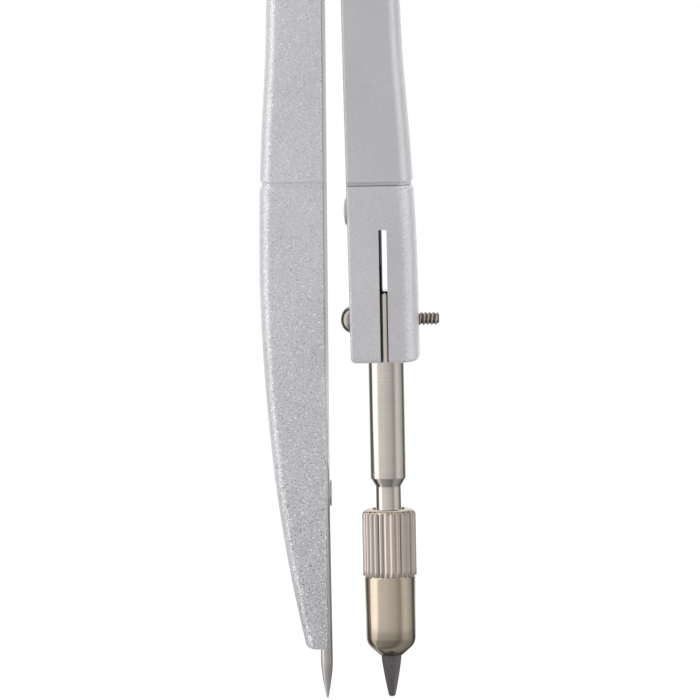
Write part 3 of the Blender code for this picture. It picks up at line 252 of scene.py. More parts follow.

# %% [markdown]
# The floor is a wide white disc at the height of the points. It glows white for the camera, with
# a little plain white paint mixed in, so that the compass still casts its soft shadow there. For
# the metal it shows the ring of cards, dimmed near the points by painted shade.

# %% Floor
bpy.ops.object.select_all(action="DESELECT")
bpy.ops.mesh.primitive_circle_add(
    vertices=96, radius=FLOOR_RADIUS, fill_type="NGON", location=(0, 0, TIP_Z - FLOOR_DROP)
)
floor = bpy.context.object
floor.name = "floor"
material = bpy.data.materials.new("floor_white")
material.use_nodes = True
tree = material.node_tree
tree.nodes.clear()
place = add_node(tree, "ShaderNodeTexCoord")
ring = card_colour(tree, place.outputs["Object"])
camera_ray, metal_ray = seen_by_metal(tree)
paint = add_node(tree, "ShaderNodeBsdfDiffuse", [("Color", FLOOR_PAINT)])
glow = add_node(tree, "ShaderNodeEmission", [("Color", WHITE), ("Strength", FLOOR_GLOW)])
away = add_node(tree, "ShaderNodeVectorMath", [(0, place.outputs["Object"])], operation="LENGTH")
# Painted shade: the floor's ring, as the metal sees it, is dimmed near the points.
painted_shade_near_points = add_node(
    tree,
    "ShaderNodeMapRange",
    [
        ("Value", away.outputs["Value"]),
        ("From Min", DIM_FROM),
        ("From Max", DIM_TO),
        ("To Min", PAINTED_SHADE_NEAR_POINTS),
    ],
)
mirror_glow = add_node(
    tree, "ShaderNodeEmission", [("Color", ring), ("Strength", painted_shade_near_points.outputs[0])]
)
for_camera = add_node(
    tree,
    "ShaderNodeMixShader",
    [("Fac", FLOOR_SHADOW_SHARE), (1, glow.outputs[0]), (2, paint.outputs[0])],
)
for_light = add_node(
    tree,
    "ShaderNodeMixShader",
    [("Fac", metal_ray), (1, paint.outputs[0]), (2, mirror_glow.outputs[0])],
)
both = add_node(
    tree,
    "ShaderNodeMixShader",
    [("Fac", camera_ray), (1, for_light.outputs[0]), (2, for_camera.outputs[0])],
)
add_node(tree, "ShaderNodeOutputMaterial", [("Surface", both.outputs[0])])
floor.data.materials.append(material)
print("the floor is", 2 * FLOOR_RADIUS, "m wide")

# %% [markdown]
# The world gives an even light. Two long area lamps stand at the sides, because in the picture
# the outer sides of the legs are brighter than their fronts, and a weak lamp in front lifts the
# flat faces. The lamps are left out of mirrors, where the cards take their place.

# %% Lamps
LAMPS = (
    # name, degrees round from the camera, degrees up, distance in metres, width, height, watts
    ("left_softbox", -92, 18, 0.75, 0.30, 0.80, 7.0),
    ("right_softbox", 94, 18, 0.80, 0.30, 0.80, 7.4),
    ("front_fill", 8, 34, 0.95, 0.60, 0.45, 2.1),
)
for name, round_degrees, up_degrees, reach, width, tall, watts in LAMPS:
    around = math.radians(round_degrees) + AZIMUTH
    up = math.radians(up_degrees)
    away = Vector(
        (math.sin(around) * math.cos(up), -math.cos(around) * math.cos(up), math.sin(up))
    )
    bpy.ops.object.light_add(type="AREA", location=AIM + away * reach)
    lamp = bpy.context.object
    lamp.name = name
    lamp.rotation_euler = away.to_track_quat("Z", "Y").to_euler()
    lamp.data.shape = "RECTANGLE"
    lamp.data.size = width
    lamp.data.size_y = tall
    lamp.data.energy = watts
    lamp.visible_glossy = False
print("lamps:", ", ".join(lamp[0] for lamp in LAMPS))

# %% [markdown]
# Most pieces are turned or cast, so two hand skills make nearly all of them. One draws a line of
# points by extruding a single vertex, the way an outline is clicked out by hand. The other picks
# points by place, as a box select would, before an operator moves them. Everything is deselected
# before each new piece.

# %% Drawing and picking
MERGE = 1e-7


def deselect_all():
    if bpy.context.object and bpy.context.object.mode != "OBJECT":
        bpy.ops.object.mode_set(mode="OBJECT")
    bpy.ops.object.select_all(action="DESELECT")


def use(piece):
    """Make a piece the only one selected, and the active one."""
    deselect_all()
    piece.select_set(True)
    bpy.context.view_layer.objects.active = piece
    return piece


def draw(name, points):
    """A chain of edges through points, drawn by extruding one vertex. It stays in edit mode."""
    deselect_all()
    bpy.ops.mesh.primitive_plane_add(size=MM, location=(0, 0, 0))
    piece = bpy.context.object
    piece.name = name
    piece.data.name = name
    bpy.ops.object.mode_set(mode="EDIT")
    bpy.ops.mesh.merge(type="CENTER")
    bpy.ops.transform.translate(value=points[0])
    for here, there in zip(points, points[1:]):
        bpy.ops.mesh.extrude_region_move(TRANSFORM_OT_translate={"value": there - here})
    return piece


def pick(test):
    """In edit mode, select the points whose place passes a test, and only those."""
    piece = bpy.context.object
    mesh = bmesh.from_edit_mesh(piece.data)
    mesh.select_mode = {"VERT"}
    for vertex in mesh.verts:
        vertex.select = test(vertex.co)
    mesh.select_flush_mode()
    bmesh.update_edit_mesh(piece.data)


def tidy_mesh():
    """In edit mode, merge doubles and turn all faces outwards, then leave edit mode."""
    bpy.ops.mesh.select_all(action="SELECT")
    bpy.ops.mesh.remove_doubles(threshold=MERGE)
    bpy.ops.mesh.normals_make_consistent(inside=False)
    bpy.ops.object.mode_set(mode="OBJECT")


def lathe(name, profile, at, along, segments=96):
    """Draw half an outline of (radius, distance along) pairs, and spin it about an axis."""
    side = Vector((1, 0, 0)) if abs(along.x) < 0.5 else Vector((0, 1, 0))
    piece = draw(name, [at + along * reach + side * radius for radius, reach in profile])
    bpy.ops.mesh.select_all(action="SELECT")
    bpy.ops.mesh.spin(steps=segments, angle=2 * math.pi, center=at, axis=along)
    tidy_mesh()
    return piece


def slab(name, outline, thickness):
    """Fill a closed outline and extrude it by a thickness vector."""
    piece = draw(name, outline + outline[:1])
    bpy.ops.mesh.select_all(action="SELECT")
    bpy.ops.mesh.remove_doubles(threshold=MERGE)
    bpy.ops.mesh.edge_face_add()
    bpy.ops.mesh.extrude_region_move(TRANSFORM_OT_translate={"value": thickness})
    tidy_mesh()
    return piece


def arc(centre, radii, start, end, steps):
    """Points of an elliptical arc in a flat outline, with angles in degrees, ends included."""
    turns = [math.radians(start + (end - start) * i / steps) for i in range(steps + 1)]
    return [(centre[0] + radii[0] * math.cos(t), centre[1] + radii[1] * math.sin(t)) for t in turns]


print("helpers ready")

# %% [markdown]
# Holes, slots and sockets are cut with boolean modifiers, as a drill or a saw would cut the real
# piece. A bevel on the sharp edges that are left gives each one the thin highlight that real
# metal edges have.

# %% Cutting, rounding and finishing
UP = Vector((0, 0, 1))
RIGHT = Vector((1, 0, 0))
AWAY = Vector((0, 1, 0))


def apply_all(piece):
    use(piece)
    for modifier in list(piece.modifiers):
        bpy.ops.object.modifier_apply(modifier=modifier.name)


def boolean(piece, tool, operation="DIFFERENCE"):
    """Cut a piece with a tool, or join them, and remove the tool."""
    modifier = piece.modifiers.new(tool.name, "BOOLEAN")
    modifier.operation = operation
    modifier.solver = "EXACT"
    modifier.object = tool
    apply_all(piece)
    bpy.data.objects.remove(tool)


def drill(piece, at, along, radius, depth, segments=64):
    """A round hole that starts at a point and runs along an axis."""
    profile = [(0, 0), (radius, 0), (radius, depth), (0, depth)]
    boolean(piece, lathe("drill", profile, at, along, segments))


def block_tool(low, high):
    """A box between two corners, made from a cube primitive and moved in edit mode."""
    deselect_all()
    bpy.ops.mesh.primitive_cube_add(size=1, location=(0, 0, 0))
    tool = bpy.context.object
    tool.name = "block_tool"
    bpy.ops.object.mode_set(mode="EDIT")
    bpy.ops.transform.resize(value=high - low, center_override=(0, 0, 0))
    bpy.ops.transform.translate(value=(low + high) / 2)
    bpy.ops.object.mode_set(mode="OBJECT")
    return tool


def round_edges(piece, width, segments=3, sharper_than=40):
    bevel = piece.modifiers.new("edge_rounding", "BEVEL")
    bevel.width = width
    bevel.segments = segments
    bevel.limit_method = "ANGLE"
    bevel.angle_limit = math.radians(sharper_than)
    bevel.miter_outer = "MITER_ARC"
    apply_all(piece)


def finish(piece, body, nodes, material, sharp=35):
    """Shade a piece, give it its material, hang it on its body and hide the CAD nodes it stands
    for.
    """
    use(piece)
    bpy.ops.object.shade_smooth_by_angle(angle=math.radians(sharp))
    piece.data.materials.clear()
    piece.data.materials.append(material)
    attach(piece, body)
    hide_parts(*nodes)
    print(piece.name, "has", len(piece.data.polygons), "faces")
    return piece


# %% [markdown]
# The legs and the head are zinc castings under a satin silver paint. Close up, the paint shows
# fine flakes and a slight orange peel. Both come from patterns on Object coordinates. A fine
# noise tints the paint, and single cells of a Voronoi pattern are painted glints of flakes that
# catch the light, or painted shade of flakes that lie in shade. A clear coat over a wider, dented
# pattern glints on the rounded sides. The flakes show more towards the foot of the needle leg,
# which is darker too, and the flakes and their painted glints show more where the surface turns
# away. A ramp over the surface's own normal paints light and shade on the corners: a painted
# highlight on the start of a corner and painted shade past it.

# %% Silver paint
def noise(tree, place, scale, detail=2.0, stretch=None):
    """A noise pattern with features about 1 / scale metres wide, stretched if asked."""
    vector = place
    if stretch is not None:
        mapping = add_node(tree, "ShaderNodeMapping", [("Vector", place), ("Scale", stretch)])
        vector = mapping.outputs[0]
    pattern = add_node(
        tree, "ShaderNodeTexNoise", [("Vector", vector), ("Scale", scale), ("Detail", detail)]
    )
    return pattern.outputs["Fac"]


def spread(tree, value, low, high, near=0.35, far=0.65):
    """Map a noise value's usual range onto low to high."""
    ends = [("From Min", near), ("From Max", far), ("To Min", low), ("To Max", high)]
    return add_node(tree, "ShaderNodeMapRange", [("Value", value)] + ends).outputs[0]


def multiply(tree, first, second):
    product = add_node(tree, "ShaderNodeMath", [(0, first), (1, second)], operation="MULTIPLY")
    return product.outputs[0]


def add(tree, first, second):
    total = add_node(tree, "ShaderNodeMath", [(0, first), (1, second)], operation="ADD")
    return total.outputs[0]


def along_z(tree, place, start, end, first, last):
    """A number that goes from first to last as the height goes from start to end."""
    parts = add_node(tree, "ShaderNodeSeparateXYZ", [("Vector", place)])
    return spread(tree, parts.outputs["Z"], first, last, start, end)


def cells(tree, place, scale):
    """Two random numbers for each cell of a pattern of cells about 1 / scale metres wide."""
    pattern = add_node(tree, "ShaderNodeTexVoronoi", [("Vector", place), ("Scale", scale)])
    parts = add_node(tree, "ShaderNodeSeparateColor", [("Color", pattern.outputs["Color"])])
    return parts.outputs["Red"], parts.outputs["Green"]


def tint(tree, colour, share):
    """A colour, or a socket that gives one, made lighter or darker by a share."""
    if not hasattr(colour, "is_output"):
        colour = (*colour, 1)
    mixed = add_node(
        tree,
        "ShaderNodeMix",
        [("Factor", 1.0), (6, colour), (7, share)],
        data_type="RGBA",
        blend_type="MULTIPLY",
    )
    return mixed.outputs[2]


def bump(tree, value, depth, under=None):
    links = [("Height", value), ("Strength", 1.0), ("Distance", depth)]
    if under is not None:
        links.append(("Normal", under))
    return add_node(tree, "ShaderNodeBump", links).outputs[0]


def new_finish(name, metallic, roughness, specular=0.5):
    """A material with a plain Principled shader, its node tree and Object coordinates."""
    material = bpy.data.materials.new(name)
    material.use_nodes = True
    tree = material.node_tree
    shader = tree.nodes["Principled BSDF"]
    shader.inputs["Metallic"].default_value = metallic
    shader.inputs["Roughness"].default_value = roughness
    shader.inputs["Specular IOR Level"].default_value = specular
    place = add_node(tree, "ShaderNodeTexCoord").outputs["Object"]
    return material, tree, shader, place


LOWER_LEG = (TIP_Z + 50 * MM, TIP_Z + 6 * MM)
COAT_WEIGHT = 0.50
COAT_ROUGHNESS = 0.14
FLAKE_SCALE, GLINT_SCALE, PEEL_SCALE, CLOUD_SCALE = 13000, 9500, 4800, 130
# the glints are painted highlights of flakes, and the dark cells are painted shade
FLAKE_CONTRAST, GLINT_CONTRAST, FLAKE_SHADE_CONTRAST = 0.9, 2.6, 2.0
RARE = 0.92
PEEL_DEPTH, FLAKE_DEPTH = 0.030 * MM, 0.006 * MM
# Painted highlight and painted shade on the corners, by how far the surface faces sideways.
CORNER_PAINTED_LIGHT = (
    # how far the paint faces the inner side (1) or the outer side (-1), share of its colour
    (-1.0, 0.84),
    (-0.93, 0.90),
    (-0.82, 1.00),
    (0.10, 1.00),
    (0.30, 1.12),
    (0.50, 1.10),
    (0.75, 0.86),
    (1.0, 0.80),
)
ROUNDING_GRAIN_AND_GLINT = (
    # how far the paint faces sideways, share of the contrast of the flakes and their painted glints
    (0.0, 1.0),
    (0.15, 1.0),
    (0.40, 2.0),
    (0.75, 1.7),
    (1.0, 1.0),
)


def silver_paint(name, colour, grain, foot_grain, foot_shade=1.0, inner_side=0):
    """Paint whose flakes show by a share of its colour, more or less so down the lower leg."""
    material, tree, shader, place = new_finish(name, 0.25, 0.45, 0.4)
    shader.inputs["Coat Weight"].default_value = COAT_WEIGHT
    shader.inputs["Coat Roughness"].default_value = COAT_ROUGHNESS
    flake = noise(tree, place, FLAKE_SCALE, 1.0)
    bright, dark = cells(tree, place, GLINT_SCALE)
    peel = noise(tree, place, PEEL_SCALE, 2.0)
    cloud = noise(tree, place, CLOUD_SCALE, 3.0)
    facing = add_node(tree, "ShaderNodeTexCoord").outputs["Normal"]
    sideways = add_node(tree, "ShaderNodeSeparateXYZ", [("Vector", facing)]).outputs["X"]
    turned = add_node(tree, "ShaderNodeMath", [(0, sideways)], operation="ABSOLUTE").outputs[0]
    # painted light on the corners: a painted highlight where a corner starts, painted shade past it
    corner = ramp(tree, multiply(tree, sideways, inner_side), CORNER_PAINTED_LIGHT, -1.0, 1.0)
    # the flakes and their painted glints show more on the rounded sides
    contrast = multiply(
        tree,
        along_z(tree, place, *LOWER_LEG, grain, foot_grain),
        ramp(tree, turned, ROUNDING_GRAIN_AND_GLINT),
    )
    # random flake tone, plus painted glints (bright cells) and painted shade (dark cells)
    pattern = add(
        tree,
        spread(tree, flake, -FLAKE_CONTRAST, FLAKE_CONTRAST),
        spread(tree, bright, 0.0, GLINT_CONTRAST, RARE, 1.0),
    )
    pattern = add(tree, pattern, spread(tree, dark, 0.0, -FLAKE_SHADE_CONTRAST, RARE, 1.0))
    share = add(tree, multiply(tree, contrast, pattern), 1.0)
    shade = multiply(
        tree, along_z(tree, place, *LOWER_LEG, 1.0, foot_shade), spread(tree, cloud, 0.97, 1.03)
    )
    shade = multiply(tree, shade, corner)
    tree.links.new(tint(tree, colour, multiply(tree, share, shade)), shader.inputs["Base Color"])
    tree.links.new(spread(tree, flake, 0.36, 0.54), shader.inputs["Roughness"])
    coarse = bump(tree, peel, PEEL_DEPTH)
    fine = bump(tree, flake, FLAKE_DEPTH)
    tree.links.new(fine, shader.inputs["Normal"])
    tree.links.new(coarse, shader.inputs["Coat Normal"])
    return material


def darker(colour, share):
    return tuple(part * share for part in colour)


PAINT_COLOUR = (0.50, 0.49, 0.51)
needle_leg_paint = silver_paint("silver_paint_needle_leg", PAINT_COLOUR, 0.155, 0.36, 0.85, 1)
lead_leg_paint = silver_paint(
    "silver_paint_lead_leg", darker(PAINT_COLOUR, 0.86), 0.045, 0.06, inner_side=-1
)
block_paint = silver_paint(
    "silver_paint_clamp_block", darker(PAINT_COLOUR, 0.905), 0.085, 0.10, inner_side=-1
)
head_paint = silver_paint("silver_paint_head", PAINT_COLOUR, 0.10, 0.10)
print("paint ready")

# %% [markdown]
# The clamp block is drilled and sawn after it is painted, so the walls of its slot and its bore
# are bare zinc, grey and dull, with marks across them from the saw. Their grey is darkened nearly
# to black, as painted shade deep in the narrow slot and the bore.

# %% Bare zinc
# nearly black: bare zinc darkened by painted shade for the deep slot and bore
ZINC_WITH_PAINTED_SHADE = (0.085, 0.082, 0.08)
MARKS_ACROSS = (300, 300, 8000)
sawn_zinc_painted_shade, tree, shader, place = new_finish("sawn_zinc_painted_shade", 0.6, 0.55)
saw_marks = noise(tree, place, 1.0, 2.0, MARKS_ACROSS)
shade = spread(tree, saw_marks, 0.8, 1.2)
tree.links.new(tint(tree, ZINC_WITH_PAINTED_SHADE, shade), shader.inputs["Base Color"])
tree.links.new(bump(tree, saw_marks, 0.004 * MM), shader.inputs["Normal"])
print("bare zinc ready")

# %% [markdown]
# The insert, its sleeve and the handle are turned brass under bright nickel. The turning tool
# leaves very fine rings round the axis, so the noise is stretched to be short along the axis and
# long round it. The sleeve is warmer than the shank, where the brass shows through the thin
# plating.

# %% Turned and plated metal
def turned_metal(name, colour, roughness, stretch, ring_depth, stain=0.03, tone=None):
    """A turned metal. A tone is a function that gives a further colour to multiply with: here
    painted shade and painted highlights.
    """
    low, high = roughness
    material, tree, shader, place = new_finish(name, 1.0, (low + high) / 2)
    rings = noise(tree, place, 1.0, 2.0, stretch)
    cloud = noise(tree, place, 420, 3.0)
    shade = multiply(
        tree, spread(tree, rings, 0.98, 1.02), spread(tree, cloud, 1 - stain, 1 + stain)
    )
    if tone is not None:
        colour = tint(tree, colour, tone(tree, place))
    tree.links.new(tint(tree, colour, shade), shader.inputs["Base Color"])
    tree.links.new(spread(tree, cloud, low, high), shader.inputs["Roughness"])
    tree.links.new(bump(tree, rings, ring_depth), shader.inputs["Normal"])
    return material


def off_axis(tree, place, axis, centre):
    """How far a point is from the line that runs through centre along axis."""
    across = Vector((1, 1, 1)) - axis
    flat = add_node(
        tree, "ShaderNodeVectorMath", [(0, place), (1, across)], operation="MULTIPLY"
    ).outputs["Vector"]
    gap = add_node(
        tree, "ShaderNodeVectorMath", [(0, flat), (1, centre * across)], operation="DISTANCE"
    )
    return gap.outputs["Value"]


RINGS_ROUND_Z = (260, 260, 9000)
RINGS_ROUND_X = (9000, 260, 260)
shank_nickel = turned_metal(
    "nickel_shank", (0.66, 0.61, 0.56), (0.05, 0.10), RINGS_ROUND_Z, 0.0004 * MM
)
handle_nickel = turned_metal(
    "nickel_handle", (0.62, 0.57, 0.51), (0.14, 0.22), RINGS_ROUND_Z, 0.0008 * MM
)
bright_steel = turned_metal(
    "screw_steel_bright", (0.60, 0.59, 0.58), (0.25, 0.36), RINGS_ROUND_X, 0.0010 * MM, 0.06
)
head_steel = turned_metal(
    "screw_steel_head", (0.50, 0.48, 0.46), (0.22, 0.34), (260, 9000, 260), 0.0010 * MM, 0.06
)
needle_steel = turned_metal(
    "needle_steel", (0.74, 0.71, 0.69), (0.28, 0.38), (300, 300, 7000), 0.0010 * MM, 0.05
)
print("metals ready")

# %% [markdown]
# Graphite lead is nearly black and slightly shiny. A leg of it that was drawn along a sharpener
# has fine streaks along its length, which a noise stretched along Z gives. The washers are plain
# pale nylon.

# %% Graphite and nylon
GRAPHITE_COLOUR = (0.100, 0.089, 0.094)
NYLON_COLOUR = (0.75, 0.74, 0.70)
STREAKS_ALONG_Z = (9000, 9000, 700)
graphite, tree, shader, place = new_finish("graphite", 0.25, 0.42)
streak = noise(tree, place, 1.0, 3.0, STREAKS_ALONG_Z)
grain = noise(tree, place, 7000, 2.0)
share = multiply(tree, spread(tree, streak, 0.84, 1.16), spread(tree, grain, 0.9, 1.1))
tree.links.new(tint(tree, GRAPHITE_COLOUR, share), shader.inputs["Base Color"])
tree.links.new(spread(tree, grain, 0.34, 0.5), shader.inputs["Roughness"])
tree.links.new(bump(tree, streak, 0.004 * MM), shader.inputs["Normal"])

nylon, tree, shader, place = new_finish("washer_nylon", 0.0, 0.55)
grain = noise(tree, place, 3000, 2.0)
share = spread(tree, grain, 0.95, 1.04)
tree.links.new(tint(tree, NYLON_COLOUR, share), shader.inputs["Base Color"])
tree.links.new(bump(tree, grain, 0.003 * MM), shader.inputs["Normal"])
print("graphite and nylon ready")

# %% [markdown]
# A leg is long and nearly straight, with the same kind of section all the way: a flat inner face
# with small corners and a full, rounded outer side. So the section is drawn once at the pivot,
# filled, and extruded from level to level down the leg. Each new ring is then moved to the width
# that the CAD leg has there.

# %% How wide the legs are
LEG_HALF_THICKNESS = 3.5 * MM
INNER_CORNER = 0.27 * MM
OUTER_DEPTH = 2.7 * MM
ROUNDING_AT_ENDS = 1.00 * MM
ROUNDING_AT_KNEE = 1.30 * MM
BLOCK_ROUNDING = 1.65 * MM


def width_at(node, z):
    """How near and how far from the middle plane a CAD piece reaches at a height."""
    mesh = frame["nodes"][node].data
    met = []
    for edge in mesh.edges:
        a, b = (mesh.vertices[i].co for i in edge.vertices)
        if (a.z - z) * (b.z - z) < 0:
            met.append(abs(a.x + (b.x - a.x) * (z - a.z) / (b.z - a.z)))
    return min(met), max(met)


def between(value, start, end, first, last):
    """A number that goes evenly from first to last as value goes from start to end."""
    share = (value - start) / (end - start)
    return first + (last - first) * max(0.0, min(1.0, share))


def profile_of(node, heights):
    """(height, inner distance, outer distance) of a CAD leg at some heights, from the top down."""
    return [(z, *width_at(node, z)) for z in heights]


def from_profile(profile, z):
    """The inner and outer distance at any height, from the two nearest measured ones."""
    upper = min((row for row in profile if row[0] >= z), key=lambda row: row[0], default=None)
    lower = max((row for row in profile if row[0] < z), key=lambda row: row[0], default=None)
    if upper is None:
        upper, lower = profile[0], profile[1]
    if lower is None:
        upper, lower = profile[-2], profile[-1]
    share = (z - upper[0]) / (lower[0] - upper[0])
    return tuple(a + (b - a) * share for a, b in zip(upper[1:], lower[1:]))


def evenly(start, end, step):
    """Heights from start down to end, evenly spaced, about a step apart."""
    count = max(1, round((start - end) / step))
    return [start + (end - start) * i / count for i in range(count + 1)]


print("needle leg at 30 mm:", [round(x / MM, 3) for x in width_at("needle_leg", TIP_Z + 30.1 * MM)])

# %% [markdown]
# The groove round each knee is a shallow trough. The rings that pass through it are drawn in by
# its depth on the front, the back and the outer side, and stay on the flat inner face, as on the
# real castings.

# %% Growing a leg
GROOVE_DEPTH = 0.18 * MM
GROOVE_SHARES = (
    # share of the half width from the middle of the groove, share of its depth
    (0.0, 1.00),
    (0.45, 0.96),
    (0.65, 0.80),
    (0.80, 0.42),
    (0.92, 0.12),
    (1.0, 0.00),
)
GROOVE_HALF_WIDTH = 0.40 * MM
FOOT_STEPS = 6
OUTLINE_STEPS = 12


def leg_outline(side, z, inner, outer, rounding):
    """The section of a leg at a height, as points round it."""
    half = LEG_HALF_THICKNESS
    corner = (INNER_CORNER, INNER_CORNER)
    full = (rounding, OUTER_DEPTH)
    flat = (
        arc((inner + INNER_CORNER, INNER_CORNER - half), corner, 180, 270, OUTLINE_STEPS // 2)
        + arc((outer - rounding, OUTER_DEPTH - half), full, 270, 360, OUTLINE_STEPS)
        + arc((outer - rounding, half - OUTER_DEPTH), full, 0, 90, OUTLINE_STEPS)
        + arc((inner + INNER_CORNER, half - INNER_CORNER), corner, 90, 180, OUTLINE_STEPS // 2)
    )
    return [Vector((side * x, y, z)) for x, y in flat]


def level(z, inner, outer, rounding, inset=0.0, inner_inset=0.0):
    return {
        "z": z,
        "inner": inner + inner_inset,
        "outer": outer - inset,
        "rounding": rounding,
        "half": LEG_HALF_THICKNESS - inset,
    }


def grow(side, before, after):
    """Extrude the end ring to the next level, then give it that level's section."""
    shift = after["inner"] - before["inner"]
    rise = after["z"] - before["z"]
    bpy.ops.mesh.extrude_region_move(TRANSFORM_OT_translate={"value": (side * shift, 0, rise)})
    centre = (0, 0, after["z"])
    bpy.ops.transform.resize(value=(1, after["half"] / before["half"], 1), center_override=centre)
    middle = (after["inner"] + before["outer"] + shift - before["rounding"] + INNER_CORNER) / 2
    pick(lambda co: abs(co.z - after["z"]) < MERGE and side * co.x > middle)
    outer_face = side * (before["outer"] + shift)
    bpy.ops.transform.resize(
        value=(after["rounding"] / before["rounding"], 1, 1),
        center_override=(outer_face, 0, after["z"]),
    )
    bpy.ops.transform.translate(value=(side * (after["outer"] - before["outer"] - shift), 0, 0))
    pick(lambda co: abs(co.z - after["z"]) < MERGE)


def cast_leg(name, side, levels):
    """Draw the first level's section, fill it and grow the leg down through the other levels."""
    first = levels[0]
    outline = leg_outline(side, first["z"], first["inner"], first["outer"], first["rounding"])
    leg = draw(name, outline + outline[:1])
    bpy.ops.mesh.select_all(action="SELECT")
    bpy.ops.mesh.remove_doubles(threshold=MERGE)
    bpy.ops.mesh.edge_face_add()
    for before, after in zip(levels, levels[1:]):
        grow(side, before, after)
    tidy_mesh()
    return leg


def groove_half(knee, direction):
    """(height, inset) pairs of one half of the groove, from its middle outwards."""
    return [
        (knee + direction * share * GROOVE_HALF_WIDTH, depth * GROOVE_DEPTH)
        for share, depth in GROOVE_SHARES
    ]


def foot_round(foot, radius, fullness=0.9):
    """(height, inset) pairs of a rounded lower end, downwards."""
    turns = [math.pi / 2 * i / FOOT_STEPS for i in range(FOOT_STEPS + 1)]
    return [
        (foot + radius * (1 - math.sin(t)), radius * (1 - math.cos(t)) * fullness) for t in turns
    ]


print("a knee groove takes", 2 * len(GROOVE_SHARES) - 1, "rings")

# %% [markdown]
# At the head each leg thins to an eye that turns on its pivot screw between the covers. Cast
# teeth on the two eyes mesh, so that both legs open together. The teeth are involutes, drawn from
# the gear's own formula.

# %% The eye and its teeth
GEAR_TEETH = 16
PRESSURE_ANGLE = math.radians(20)
PITCH_RADIUS = LEAD_PIVOT.x
GEAR_MODULE = 2 * PITCH_RADIUS / GEAR_TEETH
TIP_RADIUS = PITCH_RADIUS + 0.85 * GEAR_MODULE
ROOT_RADIUS = PITCH_RADIUS - 1.15 * GEAR_MODULE
BACKLASH = 0.08 * MM
FIRST_TOOTH = -1
LAST_TOOTH = 3
FLANK_STEPS = 6
EYE_STEPS = 60
EYE_RADIUS = 3.0 * MM
EYE_HALF = 2.0 * MM
RECESS_RADIUS = 4.95 * MM
PIVOT_BORE = 1.05 * MM


def toothed_eye(phase):
    """Outline of an eye about its pivot, with its teeth towards +X, as (x, z) pairs."""
    pitch_angle = 2 * math.pi / GEAR_TEETH
    base_radius = PITCH_RADIUS * math.cos(PRESSURE_ANGLE)
    at_pitch = math.tan(PRESSURE_ANGLE) - PRESSURE_ANGLE
    tooth_half = math.pi / 2 / GEAR_TEETH - BACKLASH / 4 / PITCH_RADIUS

    def half_angle(radius):
        pressure = math.acos(min(1.0, base_radius / radius))
        return tooth_half + at_pitch - (math.tan(pressure) - pressure)

    start = max(base_radius, ROOT_RADIUS)
    flank = [start + (TIP_RADIUS - start) * i / FLANK_STEPS for i in range(FLANK_STEPS + 1)]
    points = []
    for tooth in range(FIRST_TOOTH, LAST_TOOTH + 1):
        middle = (tooth + phase) * pitch_angle
        points.append((ROOT_RADIUS, middle - half_angle(start)))
        points += [(radius, middle - half_angle(radius)) for radius in flank]
        points += [(radius, middle + half_angle(radius)) for radius in reversed(flank)]
        points.append((ROOT_RADIUS, middle + half_angle(start)))
    begin = (LAST_TOOTH + phase + 0.5) * pitch_angle
    end = (FIRST_TOOTH + phase - 0.5) * pitch_angle + 2 * math.pi
    points += [(EYE_RADIUS, begin + (end - begin) * i / EYE_STEPS) for i in range(EYE_STEPS + 1)]
    return [(radius * math.cos(angle), radius * math.sin(angle)) for radius, angle in points]


def make_eye(leg, pivot, side):
    """Thin a leg's top to its eye, add the toothed disc and bore it for the pivot screw."""
    reach = LEG_HALF_THICKNESS + MM - EYE_HALF
    drill(leg, pivot - AWAY * (EYE_HALF + reach), AWAY, RECESS_RADIUS, reach, 128)
    drill(leg, pivot + AWAY * EYE_HALF, AWAY, RECESS_RADIUS, reach, 128)
    phase = 0.0 if side < 0 else 0.5
    outline = [
        pivot + Vector((-side * x, -EYE_HALF, z)) for x, z in toothed_eye(phase)
    ]
    boolean(leg, slab(leg.name + "_eye", outline, AWAY * 2 * EYE_HALF), "UNION")
    drill(leg, pivot - AWAY * 2 * EYE_HALF, AWAY, PIVOT_BORE, 4 * EYE_HALF)


print("gear module", round(GEAR_MODULE / MM, 3), "mm")

# %% [markdown]
# The needle leg is one casting from its eye to its foot. Below the knee it swells a little and
# then tapers to a narrow rounded foot. A groove in the flat inner face holds the needle.

# %% Needle leg
LEFT_SIDE = -1
KNEE_Z = TIP_Z + 51.75 * MM
FOOT_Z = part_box("needle_leg")[LOW][2]
FOOT_ROUND = 0.45 * MM
SAMPLE_STEP = 2.2 * MM
HEAD_CLEAR = 6.5 * MM
KNEE_CLEAR = 0.6 * MM


def plain_levels(profile, start, end, rounding, step=SAMPLE_STEP):
    """Levels of a leg without groove or rounded end, between two heights."""
    return [level(z, *from_profile(profile, z), rounding(z)) for z in evenly(start, end, step)]


def inset_levels(profile, pairs, rounding, inner_too=False):
    """Levels drawn in from the leg's own surface, for the groove or a rounded end."""
    return [
        level(z, *from_profile(profile, z), rounding(z) - inset / 2, inset, inset * inner_too)
        for z, inset in pairs
    ]


upper = profile_of(
    "needle_leg", evenly(NEEDLE_PIVOT.z - HEAD_CLEAR, KNEE_Z + KNEE_CLEAR, SAMPLE_STEP)
)
lower = profile_of("needle_leg", evenly(KNEE_Z - KNEE_CLEAR, FOOT_Z + FOOT_ROUND, SAMPLE_STEP))
needle_profile = upper + lower


def needle_rounding(z):
    if z > KNEE_Z:
        return between(z, NEEDLE_PIVOT.z, KNEE_Z, ROUNDING_AT_ENDS, ROUNDING_AT_KNEE)
    return between(z, KNEE_Z, FOOT_Z, ROUNDING_AT_KNEE, ROUNDING_AT_ENDS)


